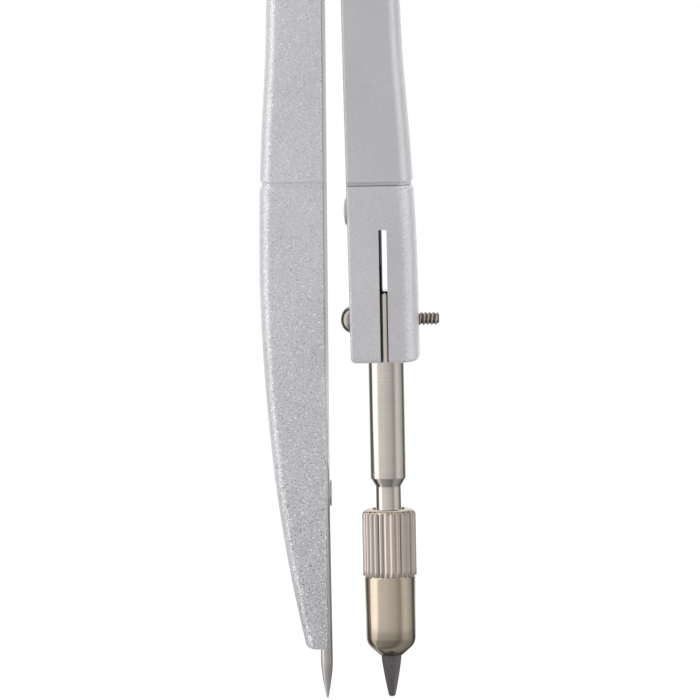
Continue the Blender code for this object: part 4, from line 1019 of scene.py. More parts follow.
levels = plain_levels(needle_profile, NEEDLE_PIVOT.z, KNEE_Z + KNEE_CLEAR, needle_rounding)
levels += inset_levels(needle_profile, groove_half(KNEE_Z, 1)[::-1], needle_rounding)
levels += inset_levels(needle_profile, groove_half(KNEE_Z, -1)[1:], needle_rounding)
foot_pairs = foot_round(FOOT_Z, FOOT_ROUND)
levels += plain_levels(
    needle_profile, KNEE_Z - KNEE_CLEAR, FOOT_Z + 2 * FOOT_ROUND, needle_rounding, MM
)
levels += inset_levels(needle_profile, foot_pairs, needle_rounding, inner_too=True)
needle_leg = cast_leg("needle_leg_casting", LEFT_SIDE, levels)
make_eye(needle_leg, NEEDLE_PIVOT, LEFT_SIDE)
print("needle leg grown through", len(levels), "levels")

# %% Groove for the needle, and the hole for its screw
NEEDLE_SCREW = joint_place("needle_screw_turn")
NEEDLE_RADIUS = radius_of("needle", NEEDLE_AXIS)
GROOVE_RADIUS = NEEDLE_RADIUS + 0.06 * MM
NEEDLE_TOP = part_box("needle")[HIGH][2]
GROOVE_SPARE = 2.0 * MM
SCREW_HOLE_RADIUS = 0.74 * MM
SCREW_HOLE_DEPTH = 3.3 * MM
groove_low = FOOT_Z - MM
groove_length = NEEDLE_TOP + GROOVE_SPARE - groove_low
groove_round = arc(
    (NEEDLE_AXIS.x, NEEDLE_AXIS.y), (GROOVE_RADIUS, GROOVE_RADIUS), 90, 270, OUTLINE_STEPS * 2
)
groove_sides = [(0, NEEDLE_AXIS.y - GROOVE_RADIUS), (0, NEEDLE_AXIS.y + GROOVE_RADIUS)]
groove_outline = [Vector((x, y, groove_low)) for x, y in groove_round + groove_sides]
boolean(needle_leg, slab("needle_groove", groove_outline, UP * groove_length))
screw_face = -width_at("needle_leg", NEEDLE_SCREW.z + 3 * MM)[0]
hole_start = Vector((screw_face - SCREW_HOLE_DEPTH, NEEDLE_SCREW.y, NEEDLE_SCREW.z))
drill(needle_leg, hole_start, RIGHT, SCREW_HOLE_RADIUS, SCREW_HOLE_DEPTH + MM)
finish(needle_leg, "needle_side", ["needle_leg"], needle_leg_paint)

# %% [markdown]
# The lead leg's upper casting ends at the knee in a square tenon, and the clamp block sits on it.
# The two together have the same groove as the other knee, with the fine seam in its middle.

# %% Lead leg, upper casting
RIGHT_SIDE = 1
TENON_WIDTH = 3.6 * MM
TENON_DEPTH = 3.8 * MM
LEAD_LEG_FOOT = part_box("lead_leg")[LOW][2]
SEAM = 0.06 * MM
LEAD_KNEE_Z = SEAM_Z + SEAM / 2


def lead_rounding(z):
    return between(z, LEAD_PIVOT.z, LEAD_KNEE_Z, ROUNDING_AT_ENDS, ROUNDING_AT_KNEE)


lead_profile = profile_of(
    "lead_leg", evenly(LEAD_PIVOT.z - HEAD_CLEAR, LEAD_KNEE_Z + KNEE_CLEAR, SAMPLE_STEP)
)
levels = plain_levels(lead_profile, LEAD_PIVOT.z, LEAD_KNEE_Z + KNEE_CLEAR, lead_rounding)
levels += inset_levels(lead_profile, groove_half(LEAD_KNEE_Z, 1)[:0:-1], lead_rounding)
levels += inset_levels(lead_profile, [(LEAD_KNEE_Z + SEAM / 2, GROOVE_DEPTH)], lead_rounding)
lead_leg = cast_leg("lead_leg_casting", RIGHT_SIDE, levels)
make_eye(lead_leg, LEAD_PIVOT, RIGHT_SIDE)
knee_inner, knee_outer = from_profile(lead_profile, LEAD_KNEE_Z)
tenon_middle = (knee_inner + knee_outer) / 2
tenon_low = Vector((tenon_middle - TENON_WIDTH / 2, -TENON_DEPTH / 2, LEAD_LEG_FOOT))
tenon_high = Vector((tenon_middle + TENON_WIDTH / 2, TENON_DEPTH / 2, LEAD_KNEE_Z + MM))
boolean(lead_leg, block_tool(tenon_low, tenon_high), "UNION")
print("tenon", [round(v / MM, 2) for v in tenon_high - tenon_low])

# %% [markdown]
# The clamp block is drilled up its middle for the insert and sawn through from below, so that the
# clamp screw can pull its two halves together. The saw cut is seen end on in the picture, dark
# with light edges.

# %% Clamp block
BLOCK_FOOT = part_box("clamp_block")[LOW][2]
BLOCK_FOOT_ROUND = 0.50 * MM
SHANK_RADIUS = radius_of("insert_shank", INSERT_AXIS)
BORE_RADIUS = SHANK_RADIUS + 0.05 * MM
BORE_DEPTH = 9.6 * MM
SLOT_WIDTH = 0.80 * MM
SLOT_LENGTH = 13.3 * MM
SEAT = 0.04 * MM
block_profile = profile_of(
    "clamp_block", evenly(SEAM_Z - KNEE_CLEAR, BLOCK_FOOT + BLOCK_FOOT_ROUND, SAMPLE_STEP)
)


def block_rounding(z):
    return BLOCK_ROUNDING


levels = inset_levels(block_profile, [(SEAM_Z, GROOVE_DEPTH)], block_rounding)
levels += inset_levels(block_profile, groove_half(LEAD_KNEE_Z, -1)[1:], block_rounding)
levels += plain_levels(
    block_profile, SEAM_Z - KNEE_CLEAR, BLOCK_FOOT + 2 * BLOCK_FOOT_ROUND, block_rounding
)
foot_pairs = foot_round(BLOCK_FOOT, BLOCK_FOOT_ROUND)
levels += inset_levels(block_profile, foot_pairs, block_rounding, inner_too=True)
block = cast_leg("clamp_block_casting", RIGHT_SIDE, levels)
boolean(
    block,
    block_tool(
        tenon_low - Vector((SEAT, SEAT, SEAT)),
        tenon_high + Vector((SEAT, SEAT, 0)),
    ),
)
bore_start = Vector((INSERT_AXIS.x, INSERT_AXIS.y, BLOCK_FOOT - MM))
drill(block, bore_start, UP, BORE_RADIUS, BORE_DEPTH + MM, 96)
reach = LEG_HALF_THICKNESS + MM
boolean(
    block,
    block_tool(
        Vector((INSERT_AXIS.x - SLOT_WIDTH / 2, -reach, BLOCK_FOOT - MM)),
        Vector((INSERT_AXIS.x + SLOT_WIDTH / 2, reach, BLOCK_FOOT + SLOT_LENGTH)),
    ),
)
print("clamp block grown through", len(levels), "levels")

# %% Screw holes in the clamp block and the tenon
CLAMP_SCREW = joint_place("clamp_screw_turn")
CLAMP_HOLE_RADIUS = 0.71 * MM
CLAMP_EXIT_RADIUS = 0.88 * MM
CLAMP_EXIT_DEPTH = 0.76 * MM
FIXING_Z = middle_of("fixing_screw").z
FIXING_HOLE_RADIUS = 0.64 * MM
FIXING_REACH = 4.3 * MM
block_inner, block_outer = from_profile(block_profile, CLAMP_SCREW.z)
through = Vector((block_inner - MM, CLAMP_SCREW.y, CLAMP_SCREW.z))
drill(block, through, RIGHT, CLAMP_HOLE_RADIUS, block_outer - block_inner + 2 * MM)
mouth = Vector((block_outer - CLAMP_EXIT_DEPTH, CLAMP_SCREW.y, CLAMP_SCREW.z))
drill(block, mouth, RIGHT, CLAMP_EXIT_RADIUS, 3 * MM)
fixing_inner = from_profile(block_profile, FIXING_Z)[0]
fixing_start = Vector((fixing_inner - MM, 0, FIXING_Z))
for piece in (block, lead_leg):
    drill(piece, fixing_start, RIGHT, FIXING_HOLE_RADIUS, FIXING_REACH + MM)
round_edges(block, 0.05 * MM, 2, 50)
finish(block, "lead_side", ["clamp_block"], block_paint)
# The slot walls and the bore get the bare zinc, darkened as painted shade.
block.data.materials.append(sawn_zinc_painted_shade)
bare = 0
for face in block.data.polygons:
    across = face.center.x - INSERT_AXIS.x
    from_axis = math.hypot(across, face.center.y - INSERT_AXIS.y)
    in_slot = abs(across) < SLOT_WIDTH / 2 + SEAT and abs(face.normal.x) > 0.9
    in_bore = abs(from_axis - BORE_RADIUS) < SEAT and abs(face.normal.z) < 0.1
    if in_slot or in_bore:
        face.material_index = 1
        bare += 1
print("bare zinc on", bare, "faces of the slot and the bore")
finish(lead_leg, "lead_side", ["lead_leg"], lead_leg_paint)

# %% [markdown]
# A screw thread is a ridge that climbs round the shaft. The shaft is spun with many fine rings
# first, and then each point is pushed in or out by where it lies along the helix, as a
# thread-cutting die would do.

# %% Cutting a thread
def fine_shaft(radius, start, end, pitch, rings_a_pitch=10):
    """Profile of a shaft that is to be threaded, with even rings from start to end."""
    count = math.ceil(abs(end - start) / pitch * rings_a_pitch)
    return [(radius, start + (end - start) * i / count) for i in range(count + 1)]


def cut_thread(piece, at, along, start, end, crest, root, pitch):
    """Push the shaft's points between start and end in or out along a helix."""
    side = Vector((1, 0, 0)) if abs(along.x) < 0.5 else Vector((0, 1, 0))
    other = along.cross(side)
    for vertex in piece.data.vertices:
        offset = vertex.co - at
        reach = offset.dot(along)
        out = offset - along * reach
        if not start < reach < end or out.length < root / 2:
            continue
        angle = math.atan2(out.dot(other), out.dot(side)) / (2 * math.pi)
        phase = (reach / pitch + angle) % 1.0
        ridge = 1 - abs(2 * phase - 1)
        ridge = min(1.0, max(0.0, 1.25 * ridge - 0.1))
        radius = root + (crest - root) * ridge
        vertex.co = at + along * reach + out.normalized() * radius


print("thread helper ready")

# %% [markdown]
# The clamp screw has a domed head on the inner side with a slot across it. Its bare end stands
# out of the other side, where its thread shows.

# %% Clamp screw
THREAD_PITCH = 0.40 * MM
CLAMP_HEAD_RADIUS = 1.35 * MM
CLAMP_HEAD_HEIGHT = 1.15 * MM
CLAMP_HEAD_RIM = 0.10 * MM
CLAMP_THREAD_CREST = 0.69 * MM
CLAMP_THREAD_ROOT = 0.505 * MM
CLAMP_END_CHAMFER = 0.20 * MM
head_top, screw_end = (corner[0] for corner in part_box("clamp_screw"))


def dome(radius, rise, steps=12):
    """(radius, height) pairs of a round head from its crown to its rim."""
    ball = (radius**2 + rise**2) / (2 * rise)
    half = math.asin(min(1.0, radius / ball))
    turns = [half * i / steps for i in range(steps + 1)]
    return [(ball * math.sin(t), rise - ball * (1 - math.cos(t))) for t in turns]


def saw_slot(piece, at, along, width, depth, reach, tilt):
    """Saw a screwdriver slot across a head. The slot runs at a tilt from upright."""
    tool = block_tool(Vector((-MM, -width / 2, -reach)), Vector((depth, width / 2, reach)))
    use(tool)
    bpy.ops.object.mode_set(mode="EDIT")
    bpy.ops.mesh.select_all(action="SELECT")
    facing = Matrix((-along, UP.cross(-along), UP)).transposed().to_4x4()
    place = Matrix.Translation(at) @ facing @ Matrix.Rotation(-tilt, 4, "X")
    mesh = bmesh.from_edit_mesh(tool.data)
    bmesh.ops.transform(mesh, matrix=place, verts=mesh.verts)
    bmesh.update_edit_mesh(tool.data)
    bpy.ops.object.mode_set(mode="OBJECT")
    boolean(piece, tool)


crown_size = (CLAMP_HEAD_RADIUS, CLAMP_HEAD_HEIGHT - CLAMP_HEAD_RIM)
crown = arc((0, crown_size[1]), crown_size, -90, 0, OUTLINE_STEPS)
shaft_end = screw_end - head_top
shaft = fine_shaft(
    CLAMP_THREAD_CREST, CLAMP_HEAD_HEIGHT, shaft_end - CLAMP_END_CHAMFER, THREAD_PITCH
)
profile = crown + [(CLAMP_HEAD_RADIUS, CLAMP_HEAD_HEIGHT)] + shaft
profile += [(CLAMP_THREAD_ROOT - CLAMP_END_CHAMFER / 2, shaft_end), (0, shaft_end)]
screw_top = Vector((head_top, CLAMP_SCREW.y, CLAMP_SCREW.z))
clamp_screw = lathe("clamp_screw_threaded", profile, screw_top, RIGHT, 64)
cut_thread(
    clamp_screw,
    screw_top,
    RIGHT,
    CLAMP_HEAD_HEIGHT + THREAD_PITCH / 4,
    shaft_end - CLAMP_END_CHAMFER / 2,
    CLAMP_THREAD_CREST,
    CLAMP_THREAD_ROOT,
    THREAD_PITCH,
)
saw_slot(clamp_screw, screw_top, -RIGHT, 0.35 * MM, 0.45 * MM, 2 * MM, 0.0)


def thread_painted_light(tree, place):
    """Painted shade in the roots of the thread, a painted highlight on its crests, and darker on
    the head.
    """
    shares = (
        (0.0, HEAD_SHADE),
        (CLAMP_THREAD_ROOT, 0.35),
        (CLAMP_THREAD_CREST - 0.03 * MM, 1.15),
        (CLAMP_THREAD_CREST + 0.02 * MM, 1.15),
        (CLAMP_THREAD_CREST + 0.05 * MM, HEAD_SHADE),
        (CLAMP_HEAD_RADIUS, HEAD_SHADE),
    )
    radius = off_axis(tree, place, RIGHT, CLAMP_SCREW)
    return ramp(tree, radius, shares, 0.0, CLAMP_HEAD_RADIUS)


HEAD_SHADE = 0.62


thread_steel = turned_metal(
    "screw_steel_thread",
    (0.56, 0.51, 0.46),
    (0.10, 0.20),
    RINGS_ROUND_X,
    0.0008 * MM,
    0.06,
    thread_painted_light,
)
finish(clamp_screw, "clamp_screw", ["clamp_screw"], thread_steel)

# %% [markdown]
# The fixing screw holds the clamp block on its tenon. Only its low, flat head shows, on the inner
# side.

# %% Fixing screw
FIXING_HEAD_RADIUS = 1.34 * MM
FIXING_HEAD_RIM = 0.26 * MM
FIXING_HEAD_DOME = 0.18 * MM
FIXING_SHAFT_RADIUS = 0.60 * MM
fixing_top, fixing_end = (corner[0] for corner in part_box("fixing_screw"))
head_length = FIXING_HEAD_RIM + FIXING_HEAD_DOME
crown = [(r, FIXING_HEAD_DOME - z) for r, z in dome(FIXING_HEAD_RADIUS, FIXING_HEAD_DOME)]
profile = crown + [
    (FIXING_HEAD_RADIUS, head_length),
    (FIXING_SHAFT_RADIUS, head_length),
    (FIXING_SHAFT_RADIUS, fixing_end - fixing_top),
    (0, fixing_end - fixing_top),
]
fixing_place = Vector((fixing_top, 0, FIXING_Z))
fixing_screw = lathe("fixing_screw_low_head", profile, fixing_place, RIGHT, 64)
saw_slot(fixing_screw, fixing_place, -RIGHT, 0.35 * MM, 0.25 * MM, 2 * MM, math.radians(20))
finish(fixing_screw, "lead_side", ["fixing_screw"], bright_steel)

# %% [markdown]
# The needle screw lies beside the needle, and the flat rim of its head presses on it. The needle
# is a plain pin with a turned point at each end, so that it can be changed over when one point is
# blunt.

# %% Needle screw
NEEDLE_HEAD_RADIUS = 1.32 * MM
NEEDLE_HEAD_HEIGHT = 0.26 * MM
NEEDLE_HEAD_EDGE = 0.07 * MM
NEEDLE_SCREW_CREST = 0.70 * MM
NEEDLE_SCREW_ROOT = 0.58 * MM
screw_end, head_top = (corner[0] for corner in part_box("needle_screw"))
shaft_end = head_top - screw_end
edge = arc(
    (NEEDLE_HEAD_RADIUS - NEEDLE_HEAD_EDGE, NEEDLE_HEAD_EDGE),
    (NEEDLE_HEAD_EDGE, NEEDLE_HEAD_EDGE),
    -90,
    0,
    5,
)
shaft = fine_shaft(NEEDLE_SCREW_CREST, NEEDLE_HEAD_HEIGHT, shaft_end, THREAD_PITCH)
profile = [(0, 0)] + edge + [(NEEDLE_HEAD_RADIUS, NEEDLE_HEAD_HEIGHT)] + shaft + [(0, shaft_end)]
screw_top = Vector((head_top, NEEDLE_SCREW.y, NEEDLE_SCREW.z))
needle_screw = lathe("needle_screw_flat_head", profile, screw_top, -RIGHT, 64)
cut_thread(
    needle_screw,
    screw_top,
    -RIGHT,
    NEEDLE_HEAD_HEIGHT + THREAD_PITCH / 4,
    shaft_end - THREAD_PITCH / 4,
    NEEDLE_SCREW_CREST,
    NEEDLE_SCREW_ROOT,
    THREAD_PITCH,
)
saw_slot(needle_screw, screw_top, RIGHT, 0.35 * MM, 0.14 * MM, 2 * MM, math.radians(-12))
finish(needle_screw, "needle_screw", ["needle_screw"], bright_steel)

# %% Needle
NEEDLE_POINT_LENGTH = 4.0 * MM
NEEDLE_POINT_RADIUS = 0.12 * MM
NEEDLE_POINT_ROUND = 0.07 * MM
POINT_STEPS = 24
POINT_FULLNESS = 1.1
needle_length = NEEDLE_TOP - TIP_Z
point = arc((0, NEEDLE_POINT_ROUND), (NEEDLE_POINT_RADIUS, NEEDLE_POINT_ROUND), -90, 0, 6)
for step in range(1, POINT_STEPS + 1):
    share = step / POINT_STEPS
    fullness = math.sin(share * math.pi / 2) ** POINT_FULLNESS
    point.append(
        (
            NEEDLE_POINT_RADIUS + (NEEDLE_RADIUS - NEEDLE_POINT_RADIUS) * fullness,
            NEEDLE_POINT_ROUND + (NEEDLE_POINT_LENGTH - NEEDLE_POINT_ROUND) * share,
        )
    )
profile = point + [(radius, needle_length - reach) for radius, reach in reversed(point)]
needle_tip = Vector((NEEDLE_AXIS.x, NEEDLE_AXIS.y, TIP_Z))
needle = lathe("needle_pin", profile, needle_tip, UP, 48)
finish(needle, "needle", ["needle"], needle_steel, 50)

# %% [markdown]
# The insert is turned from one bar: a shank for the clamp, a neck, a thread and a collet with
# four jaws. Only the shank and the neck show. The sleeve covers the rest, but the jaws are real
# and hold the lead.

# %% Insert shank and collet
SHANK_EDGE = 0.30 * MM
NECK_RADIUS = 1.27 * MM
SHOULDER_DROP = 0.83 * MM
NECK_BARE_LENGTH = 2.32 * MM
THREAD_RADIUS = 1.50 * MM
THREAD_TOP_DEPTH = 1.55 * MM
THREAD_LENGTH = 5.2 * MM
JAW_RADIUS = 1.42 * MM
JAW_END_RADIUS = 1.22 * MM
JAW_CONE_LENGTH = 1.2 * MM
JAW_SLIT = 0.30 * MM
LEAD_BORE = 1.05 * MM
LEAD_BORE_SPARE = 3.5 * MM
SLEEVE_NOSE, SLEEVE_TOP = (corner[2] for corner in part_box("lead_sleeve"))
JAW_END, SHANK_TOP = (corner[2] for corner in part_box("insert_shank"))
LEAD_TIP, LEAD_TOP = (corner[2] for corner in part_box("lead"))
neck_top = SLEEVE_TOP + NECK_BARE_LENGTH
thread_top = SLEEVE_TOP - THREAD_TOP_DEPTH
thread_end = thread_top - THREAD_LENGTH
profile = [
    (0, SHANK_TOP),
    (SHANK_RADIUS - SHANK_EDGE, SHANK_TOP),
    (SHANK_RADIUS, SHANK_TOP - SHANK_EDGE),
    (SHANK_RADIUS, neck_top + SHOULDER_DROP),
    (NECK_RADIUS, neck_top),
    (NECK_RADIUS, thread_top),
    (THREAD_RADIUS, thread_top - (THREAD_RADIUS - NECK_RADIUS)),
    (THREAD_RADIUS, thread_end),
    (JAW_RADIUS, thread_end - (THREAD_RADIUS - JAW_RADIUS)),
    (JAW_RADIUS, JAW_END + JAW_CONE_LENGTH),
    (JAW_END_RADIUS, JAW_END),
    (LEAD_BORE, JAW_END),
    (LEAD_BORE, LEAD_TOP + LEAD_BORE_SPARE),
    (0, LEAD_TOP + LEAD_BORE_SPARE),
]
insert_foot = Vector((INSERT_AXIS.x, INSERT_AXIS.y, 0))
shank = lathe("insert_shank_turned", profile, insert_foot, UP, 128)
round_edges(shank, 0.05 * MM, 2, 25)
for across, along_y in ((2 * MM, JAW_SLIT / 2), (JAW_SLIT / 2, 2 * MM)):
    low = insert_foot + Vector((-across, -along_y, JAW_END - MM))
    high = insert_foot + Vector((across, along_y, thread_end - 0.6 * MM))
    boolean(shank, block_tool(low, high))
finish(shank, "insert", ["insert_shank"], shank_nickel, 30)

# %% [markdown]
# The sleeve is knurled above, where the fingers turn it, and smooth below, with a rounded nose.
# It is spun with eight steps to each ridge of the knurl. Then the points in each valley are drawn
# in towards the axis.

# %% Lead sleeve
SLEEVE_TOP_RADIUS = 2.0 * MM
SHOULDER_LENGTH = 0.60 * MM
KNURL_RADIUS = radius_of("lead_sleeve", INSERT_AXIS)
KNURL_RIDGES = 27
KNURL_STEPS = 8
KNURL_DEPTHS = (0.000, 0.012, 0.055, 0.130, 0.185, 0.130, 0.055, 0.012)
KNURL_LENGTH = 6.1 * MM
BODY_RADIUS = 2.56 * MM
BODY_END_RADIUS = 2.47 * MM
BODY_LENGTH = 6.2 * MM
UNDERCUT = 0.06 * MM
NOSE_BEND = 1.45 * MM
NOSE_TURN = math.radians(48)
NOSE_RADIUS = 1.18 * MM
MOUTH_RADIUS = 1.55 * MM
knurl_top = SLEEVE_TOP - SHOULDER_LENGTH
knurl_end = knurl_top - KNURL_LENGTH
body_end = knurl_end - BODY_LENGTH
shoulder = arc(
    (SLEEVE_TOP_RADIUS, knurl_top),
    (KNURL_RADIUS - SLEEVE_TOP_RADIUS, SHOULDER_LENGTH),
    90,
    0,
    10,
)
bend = [
    (
        BODY_END_RADIUS - NOSE_BEND * (1 - math.cos(NOSE_TURN * i / 12)),
        body_end - NOSE_BEND * math.sin(NOSE_TURN * i / 12),
    )
    for i in range(13)
]
outer = [(MOUTH_RADIUS + 0.12 * MM, SLEEVE_TOP)] + shoulder
outer += [(KNURL_RADIUS, z) for z in evenly(knurl_top, knurl_end + 0.10 * MM, 0.5 * MM)[1:]]
outer += [
    (KNURL_RADIUS - 0.04 * MM, knurl_end + 0.03 * MM),
    (BODY_RADIUS - UNDERCUT, knurl_end),
    (BODY_RADIUS - UNDERCUT, knurl_end - 0.08 * MM),
    (BODY_RADIUS, knurl_end - 0.16 * MM),
]
outer += bend + [(NOSE_RADIUS, SLEEVE_NOSE)]
inner = [
    (LEAD_BORE, SLEEVE_NOSE),
    (LEAD_BORE, JAW_END - 0.18 * MM),
    (JAW_END_RADIUS + 0.05 * MM, JAW_END - 0.05 * MM),
    (JAW_RADIUS + 0.05 * MM, JAW_END + JAW_CONE_LENGTH - 0.05 * MM),
    (JAW_RADIUS + 0.05 * MM, thread_end - 0.13 * MM),
    (MOUTH_RADIUS, thread_end - 0.05 * MM),
    (MOUTH_RADIUS, SLEEVE_TOP - 0.50 * MM),
]
profile = outer + inner
sleeve = lathe(
    "lead_sleeve_knurled", profile + profile[:1], insert_foot, UP, KNURL_RIDGES * KNURL_STEPS
)


def knurl(piece, centre, ridges, depths, top, end, fade, outside):
    """Draw the valleys of a straight knurl in, fading out over a short length at each end."""
    for vertex in piece.data.vertices:
        offset = vertex.co - centre
        z = vertex.co.z
        out = Vector((offset.x, offset.y, 0))
        if not end - fade < z < top + fade or out.length < outside:
            continue
        turn_share = math.atan2(out.y, out.x) / (2 * math.pi) * ridges * len(depths)
        depth = depths[round(turn_share) % len(depths)] * MM
        strength = min(1.0, max(0.0, (top + fade - z) / fade), max(0.0, (z - end + fade) / fade))
        out = out.normalized() * (out.length - depth * strength)
        vertex.co = Vector((centre.x + out.x, centre.y + out.y, z))


knurl(
    sleeve,
    insert_foot,
    KNURL_RIDGES,
    KNURL_DEPTHS,
    knurl_top + 0.25 * MM,
    knurl_end + 0.08 * MM,
    0.16 * MM,
    2.2 * MM,
)


def knurl_painted_light(tree, place):
    """Brighter on the ridges of the knurl, a painted highlight, and darker in its valleys, painted
    shade.
    """
    height = add_node(tree, "ShaderNodeSeparateXYZ", [("Vector", place)]).outputs["Z"]
    zone = (
        (body_end, 0.0),
        (knurl_end - 0.02 * MM, 0.0),
        (knurl_end + 0.02 * MM, 1.0),
        (knurl_top + 0.20 * MM, 1.0),
        (knurl_top + 0.30 * MM, 0.0),
        (SLEEVE_TOP, 0.0),
    )
    on_knurl = ramp(tree, height, zone, body_end, SLEEVE_TOP)
    radius = off_axis(tree, place, UP, insert_foot)
    valley_painted_shade = spread(tree, radius, VALLEY_SHADE, 1.0, KNURL_RADIUS - VALLEY_SHADE_FROM, KNURL_RADIUS - VALLEY_SHADE_TO)
    knurled = tint(tree, KNURL_PAINTED_HIGHLIGHT, valley_painted_shade)
    mixed = add_node(
        tree,
        "ShaderNodeMix",
        [("Factor", on_knurl), (6, WHITE), (7, knurled)],
        data_type="RGBA",
    )
    return mixed.outputs[2]


# painted highlight on the knurl's ridges and painted shade in its valleys
KNURL_PAINTED_HIGHLIGHT = (1.11, 1.12, 1.24)
VALLEY_SHADE = 0.60
VALLEY_SHADE_FROM, VALLEY_SHADE_TO = 0.17 * MM, 0.06 * MM
sleeve_nickel = turned_metal(
    "nickel_sleeve", (0.56, 0.48, 0.385), (0.09, 0.15), RINGS_ROUND_Z, 0.0006 * MM, tone=knurl_painted_light
)
finish(sleeve, "sleeve", ["lead_sleeve"], sleeve_nickel, 50)

# %% [markdown]
# The lead is the common 2 mm kind. It is sharpened to a long cone whose tip is a little worn.

# %% Lead
LEAD_RADIUS = radius_of("lead", INSERT_AXIS)
LEAD_CONE_LENGTH = 3.9 * MM
LEAD_CONE_BULGE = 0.04 * MM
LEAD_TIP_RADIUS = 0.35 * MM
LEAD_TIP_ROUND = 0.20 * MM
tip_round = [
    (LEAD_TIP_RADIUS * math.sin(t), LEAD_TIP + LEAD_TIP_ROUND * (1 - math.cos(t)))
    for t in (math.pi / 2 * i / 6 for i in range(7))
]
cone_top = LEAD_TIP + LEAD_CONE_LENGTH
CONE_STEPS = 8
cone = []
for step in range(1, CONE_STEPS):
    share = step / CONE_STEPS
    radius = LEAD_TIP_RADIUS + (LEAD_RADIUS - LEAD_TIP_RADIUS) * share
    radius += LEAD_CONE_BULGE * math.sin(math.pi * share)
    cone.append((radius, LEAD_TIP + LEAD_TIP_ROUND + (LEAD_CONE_LENGTH - LEAD_TIP_ROUND) * share))
profile = tip_round + cone + [
    (LEAD_RADIUS, cone_top + 0.05 * MM),
    (LEAD_RADIUS, LEAD_TOP),
    (0, LEAD_TOP),
]
lead = lathe("lead_rod", profile, insert_foot, UP, 64)
finish(lead, "lead", ["lead"], graphite, 40)

# %% [markdown]
# The head is above the picture's edge, so it follows common compasses: two pressed covers with
# rounded edges, held on a block by two rivets. Each leg's pivot screw passes through both covers.

# %% Head covers
COVER_RADIUS = 4.8 * MM
COVER_TOP_HALF_WIDTH = 2.7 * MM
COVER_STEPS = 72
COVER_EDGE = 0.32 * MM
PIVOT_HOLE_RADIUS = 1.05 * MM
RIVET_HOLE_RADIUS = 0.64 * MM
COVER_TOP_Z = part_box("head_cover_front")[HIGH][2]
RIVET_PLACES = [middle_of("cover_rivet_left"), middle_of("cover_rivet_right")]


def cover_outline(y):
    """Outline of a cover: two round ends about the pivots, with straight sides to the handle."""
    rise = COVER_TOP_Z - LEAD_PIVOT.z
    towards = Vector((COVER_TOP_HALF_WIDTH - LEAD_PIVOT.x, rise))
    tangent = math.atan2(towards.y, towards.x) - math.acos(COVER_RADIUS / towards.length)
    cusp = -math.pi + math.acos(LEAD_PIVOT.x / COVER_RADIUS)
    turns = [cusp + (tangent - cusp) * i / COVER_STEPS for i in range(COVER_STEPS + 1)]
    right = [
        (LEAD_PIVOT.x + COVER_RADIUS * math.cos(t), COVER_RADIUS * math.sin(t)) for t in turns
    ]
    right.append((COVER_TOP_HALF_WIDTH, rise))
    left = [(-x, z) for x, z in reversed(right[1:])]
    return [Vector((x, y, LEAD_PIVOT.z + z)) for x, z in right + left]


for node in ("head_cover_front", "head_cover_back"):
    low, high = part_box(node)
    cover = slab(node + "_pressed", cover_outline(low[1]), AWAY * (high[1] - low[1]))
    round_edges(cover, COVER_EDGE, 4, 60)
    start = Vector((0, low[1] - MM, 0))
    for place, radius in [(NEEDLE_PIVOT, PIVOT_HOLE_RADIUS), (LEAD_PIVOT, PIVOT_HOLE_RADIUS)] + [
        (place, RIVET_HOLE_RADIUS) for place in RIVET_PLACES
    ]:
        drill(cover, start + Vector((place.x, 0, place.z)), AWAY, radius, 4 * MM)
    finish(cover, "head", [node], head_paint, 30)

# %% [markdown]
# Pivot screws and rivets are turned pieces along Y. The screw heads have a chamfer and a saw
# slot, and each slot lies at its own angle, as they do after assembly.

# %% Pivot screws and rivets
PIVOT_HEAD_RADIUS = 1.9 * MM
PIVOT_HEAD_HEIGHT = 0.9 * MM
PIVOT_HEAD_CHAMFER = 0.3 * MM
PIVOT_SHAFT_RADIUS = 1.0 * MM
RIVET_HEAD_RADIUS = 1.0 * MM
RIVET_HEAD_RISE = 0.30 * MM
RIVET_SHAFT_RADIUS = 0.60 * MM
for node, tilt in (("pivot_screw_left", 25), ("pivot_screw_right", -40)):
    low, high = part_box(node)
    top = Vector(((low[0] + high[0]) / 2, low[1], (low[2] + high[2]) / 2))
    length = high[1] - low[1]
    profile = [
        (0, 0),
        (PIVOT_HEAD_RADIUS - PIVOT_HEAD_CHAMFER, 0),
        (PIVOT_HEAD_RADIUS, PIVOT_HEAD_CHAMFER),
        (PIVOT_HEAD_RADIUS, PIVOT_HEAD_HEIGHT),
        (PIVOT_SHAFT_RADIUS, PIVOT_HEAD_HEIGHT),
        (PIVOT_SHAFT_RADIUS, length - 0.15 * MM),
        (PIVOT_SHAFT_RADIUS - 0.15 * MM, length),
        (0, length),
    ]
    screw = lathe(node + "_slotted", profile, top, AWAY, 64)
    round_edges(screw, 0.05 * MM, 2, 30)
    saw_slot(screw, top, -AWAY, 0.50 * MM, 0.45 * MM, 3 * MM, math.radians(tilt))
    finish(screw, "head", [node], head_steel, 30)

for node in ("cover_rivet_left", "cover_rivet_right"):
    low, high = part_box(node)
    top = Vector(((low[0] + high[0]) / 2, low[1], (low[2] + high[2]) / 2))
    length = high[1] - low[1]
    near = [(r, RIVET_HEAD_RISE - z) for r, z in dome(RIVET_HEAD_RADIUS, RIVET_HEAD_RISE)]
    far = [(r, length - z) for r, z in reversed(near)]
    shaft = [(RIVET_SHAFT_RADIUS, RIVET_HEAD_RISE), (RIVET_SHAFT_RADIUS, length - RIVET_HEAD_RISE)]
    rivet = lathe(node + "_headed", near + shaft + far, top, AWAY, 48)
    finish(rivet, "head", [node], head_steel, 40)

# %% [markdown]
# The handle is turned between finger and thumb, so its grip is knurled like the sleeve. The
# collar and the cap are plain turned pieces with their edges broken.

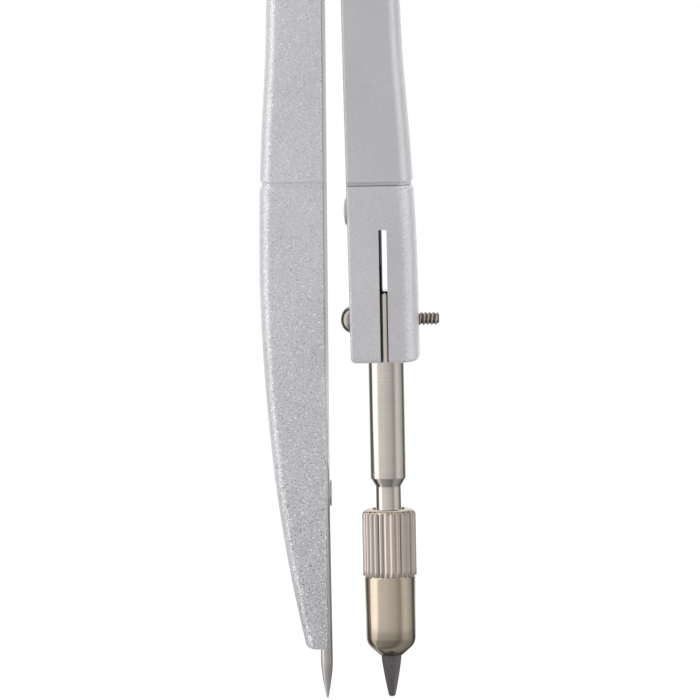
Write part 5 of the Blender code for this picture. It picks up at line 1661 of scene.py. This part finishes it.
# %% Handle
COLLAR_RADIUS = 2.4 * MM
HANDLE_BORE = 1.29 * MM
GRIP_RADIUS = 2.85 * MM
GRIP_RIDGES = 30
GRIP_DEPTHS = (0.000, 0.012, 0.055, 0.120, 0.160, 0.120, 0.055, 0.012)
GRIP_CHAMFER = 0.45 * MM
CAP_RADIUS = 2.5 * MM
CAP_ROOF = 0.80 * MM
handle_axis = Vector((0, 0, 0))
low, high = (corner[2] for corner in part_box("handle_collar"))
profile = [
    (HANDLE_BORE, high),
    (COLLAR_RADIUS, high),
    (COLLAR_RADIUS, low),
    (HANDLE_BORE, low),
    (HANDLE_BORE, high),
]
collar = lathe("handle_collar_turned", profile, handle_axis, UP, 96)
round_edges(collar, 0.28 * MM, 4, 60)
finish(collar, "head", ["handle_collar"], handle_nickel, 30)

low, high = (corner[2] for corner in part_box("handle_grip"))
outer = [(HANDLE_BORE, high), (GRIP_RADIUS - GRIP_CHAMFER, high)]
outer += [(GRIP_RADIUS, high - GRIP_CHAMFER)]
outer += [(GRIP_RADIUS, z) for z in evenly(high - GRIP_CHAMFER, low + GRIP_CHAMFER, MM)[1:]]
outer += [(GRIP_RADIUS - GRIP_CHAMFER, low), (HANDLE_BORE, low)]
grip = lathe(
    "handle_grip_knurled", outer + outer[:1], handle_axis, UP, GRIP_RIDGES * len(GRIP_DEPTHS)
)
knurl(
    grip,
    handle_axis,
    GRIP_RIDGES,
    GRIP_DEPTHS,
    high - GRIP_CHAMFER - 0.05 * MM,
    low + GRIP_CHAMFER + 0.05 * MM,
    0.30 * MM,
    2.0 * MM,
)
finish(grip, "head", ["handle_grip"], handle_nickel, 50)

low, high = (corner[2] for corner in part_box("handle_cap"))
profile = [
    (0, high),
    (CAP_RADIUS, high),
    (CAP_RADIUS, low),
    (HANDLE_BORE, low),
    (HANDLE_BORE, high - CAP_ROOF),
    (0, high - CAP_ROOF),
]
cap = lathe("handle_cap_turned", profile, handle_axis, UP, 96)
round_edges(cap, 0.35 * MM, 5, 60)
finish(cap, "head", ["handle_cap"], handle_nickel, 30)

# %% [markdown]
# The block between the covers, the spindle and the washers are nearly hidden, and their CAD
# shapes are right as they are. They keep them and only get their finishes.

# %% Pieces that stay as they are
CARRIED_OVER = {
    "head_block": head_paint,
    "handle_spindle": shank_nickel,
    "friction_washer_left_front": nylon,
    "friction_washer_left_back": nylon,
    "friction_washer_right_front": nylon,
    "friction_washer_right_back": nylon,
}
for node, material in CARRIED_OVER.items():
    piece = frame["nodes"][node]
    piece.data.materials.clear()
    piece.data.materials.append(material)
print(len(CARRIED_OVER), "pieces keep their CAD shapes")

# %% [markdown]
# The legs stand only a few millimetres apart, so each polished piece would mirror mostly its
# neighbour. In the picture the nickel and the needle show light bands there. So the needle leg,
# the insert and the sleeve are left out of what mirrors show, and the others see the cards past
# them.

# %% Pieces left out of mirrors
for piece in (needle_leg, shank, sleeve):
    piece.visible_glossy = False
print("three pieces are left out of mirrors")

# %% [markdown]

import json

deselect_all()
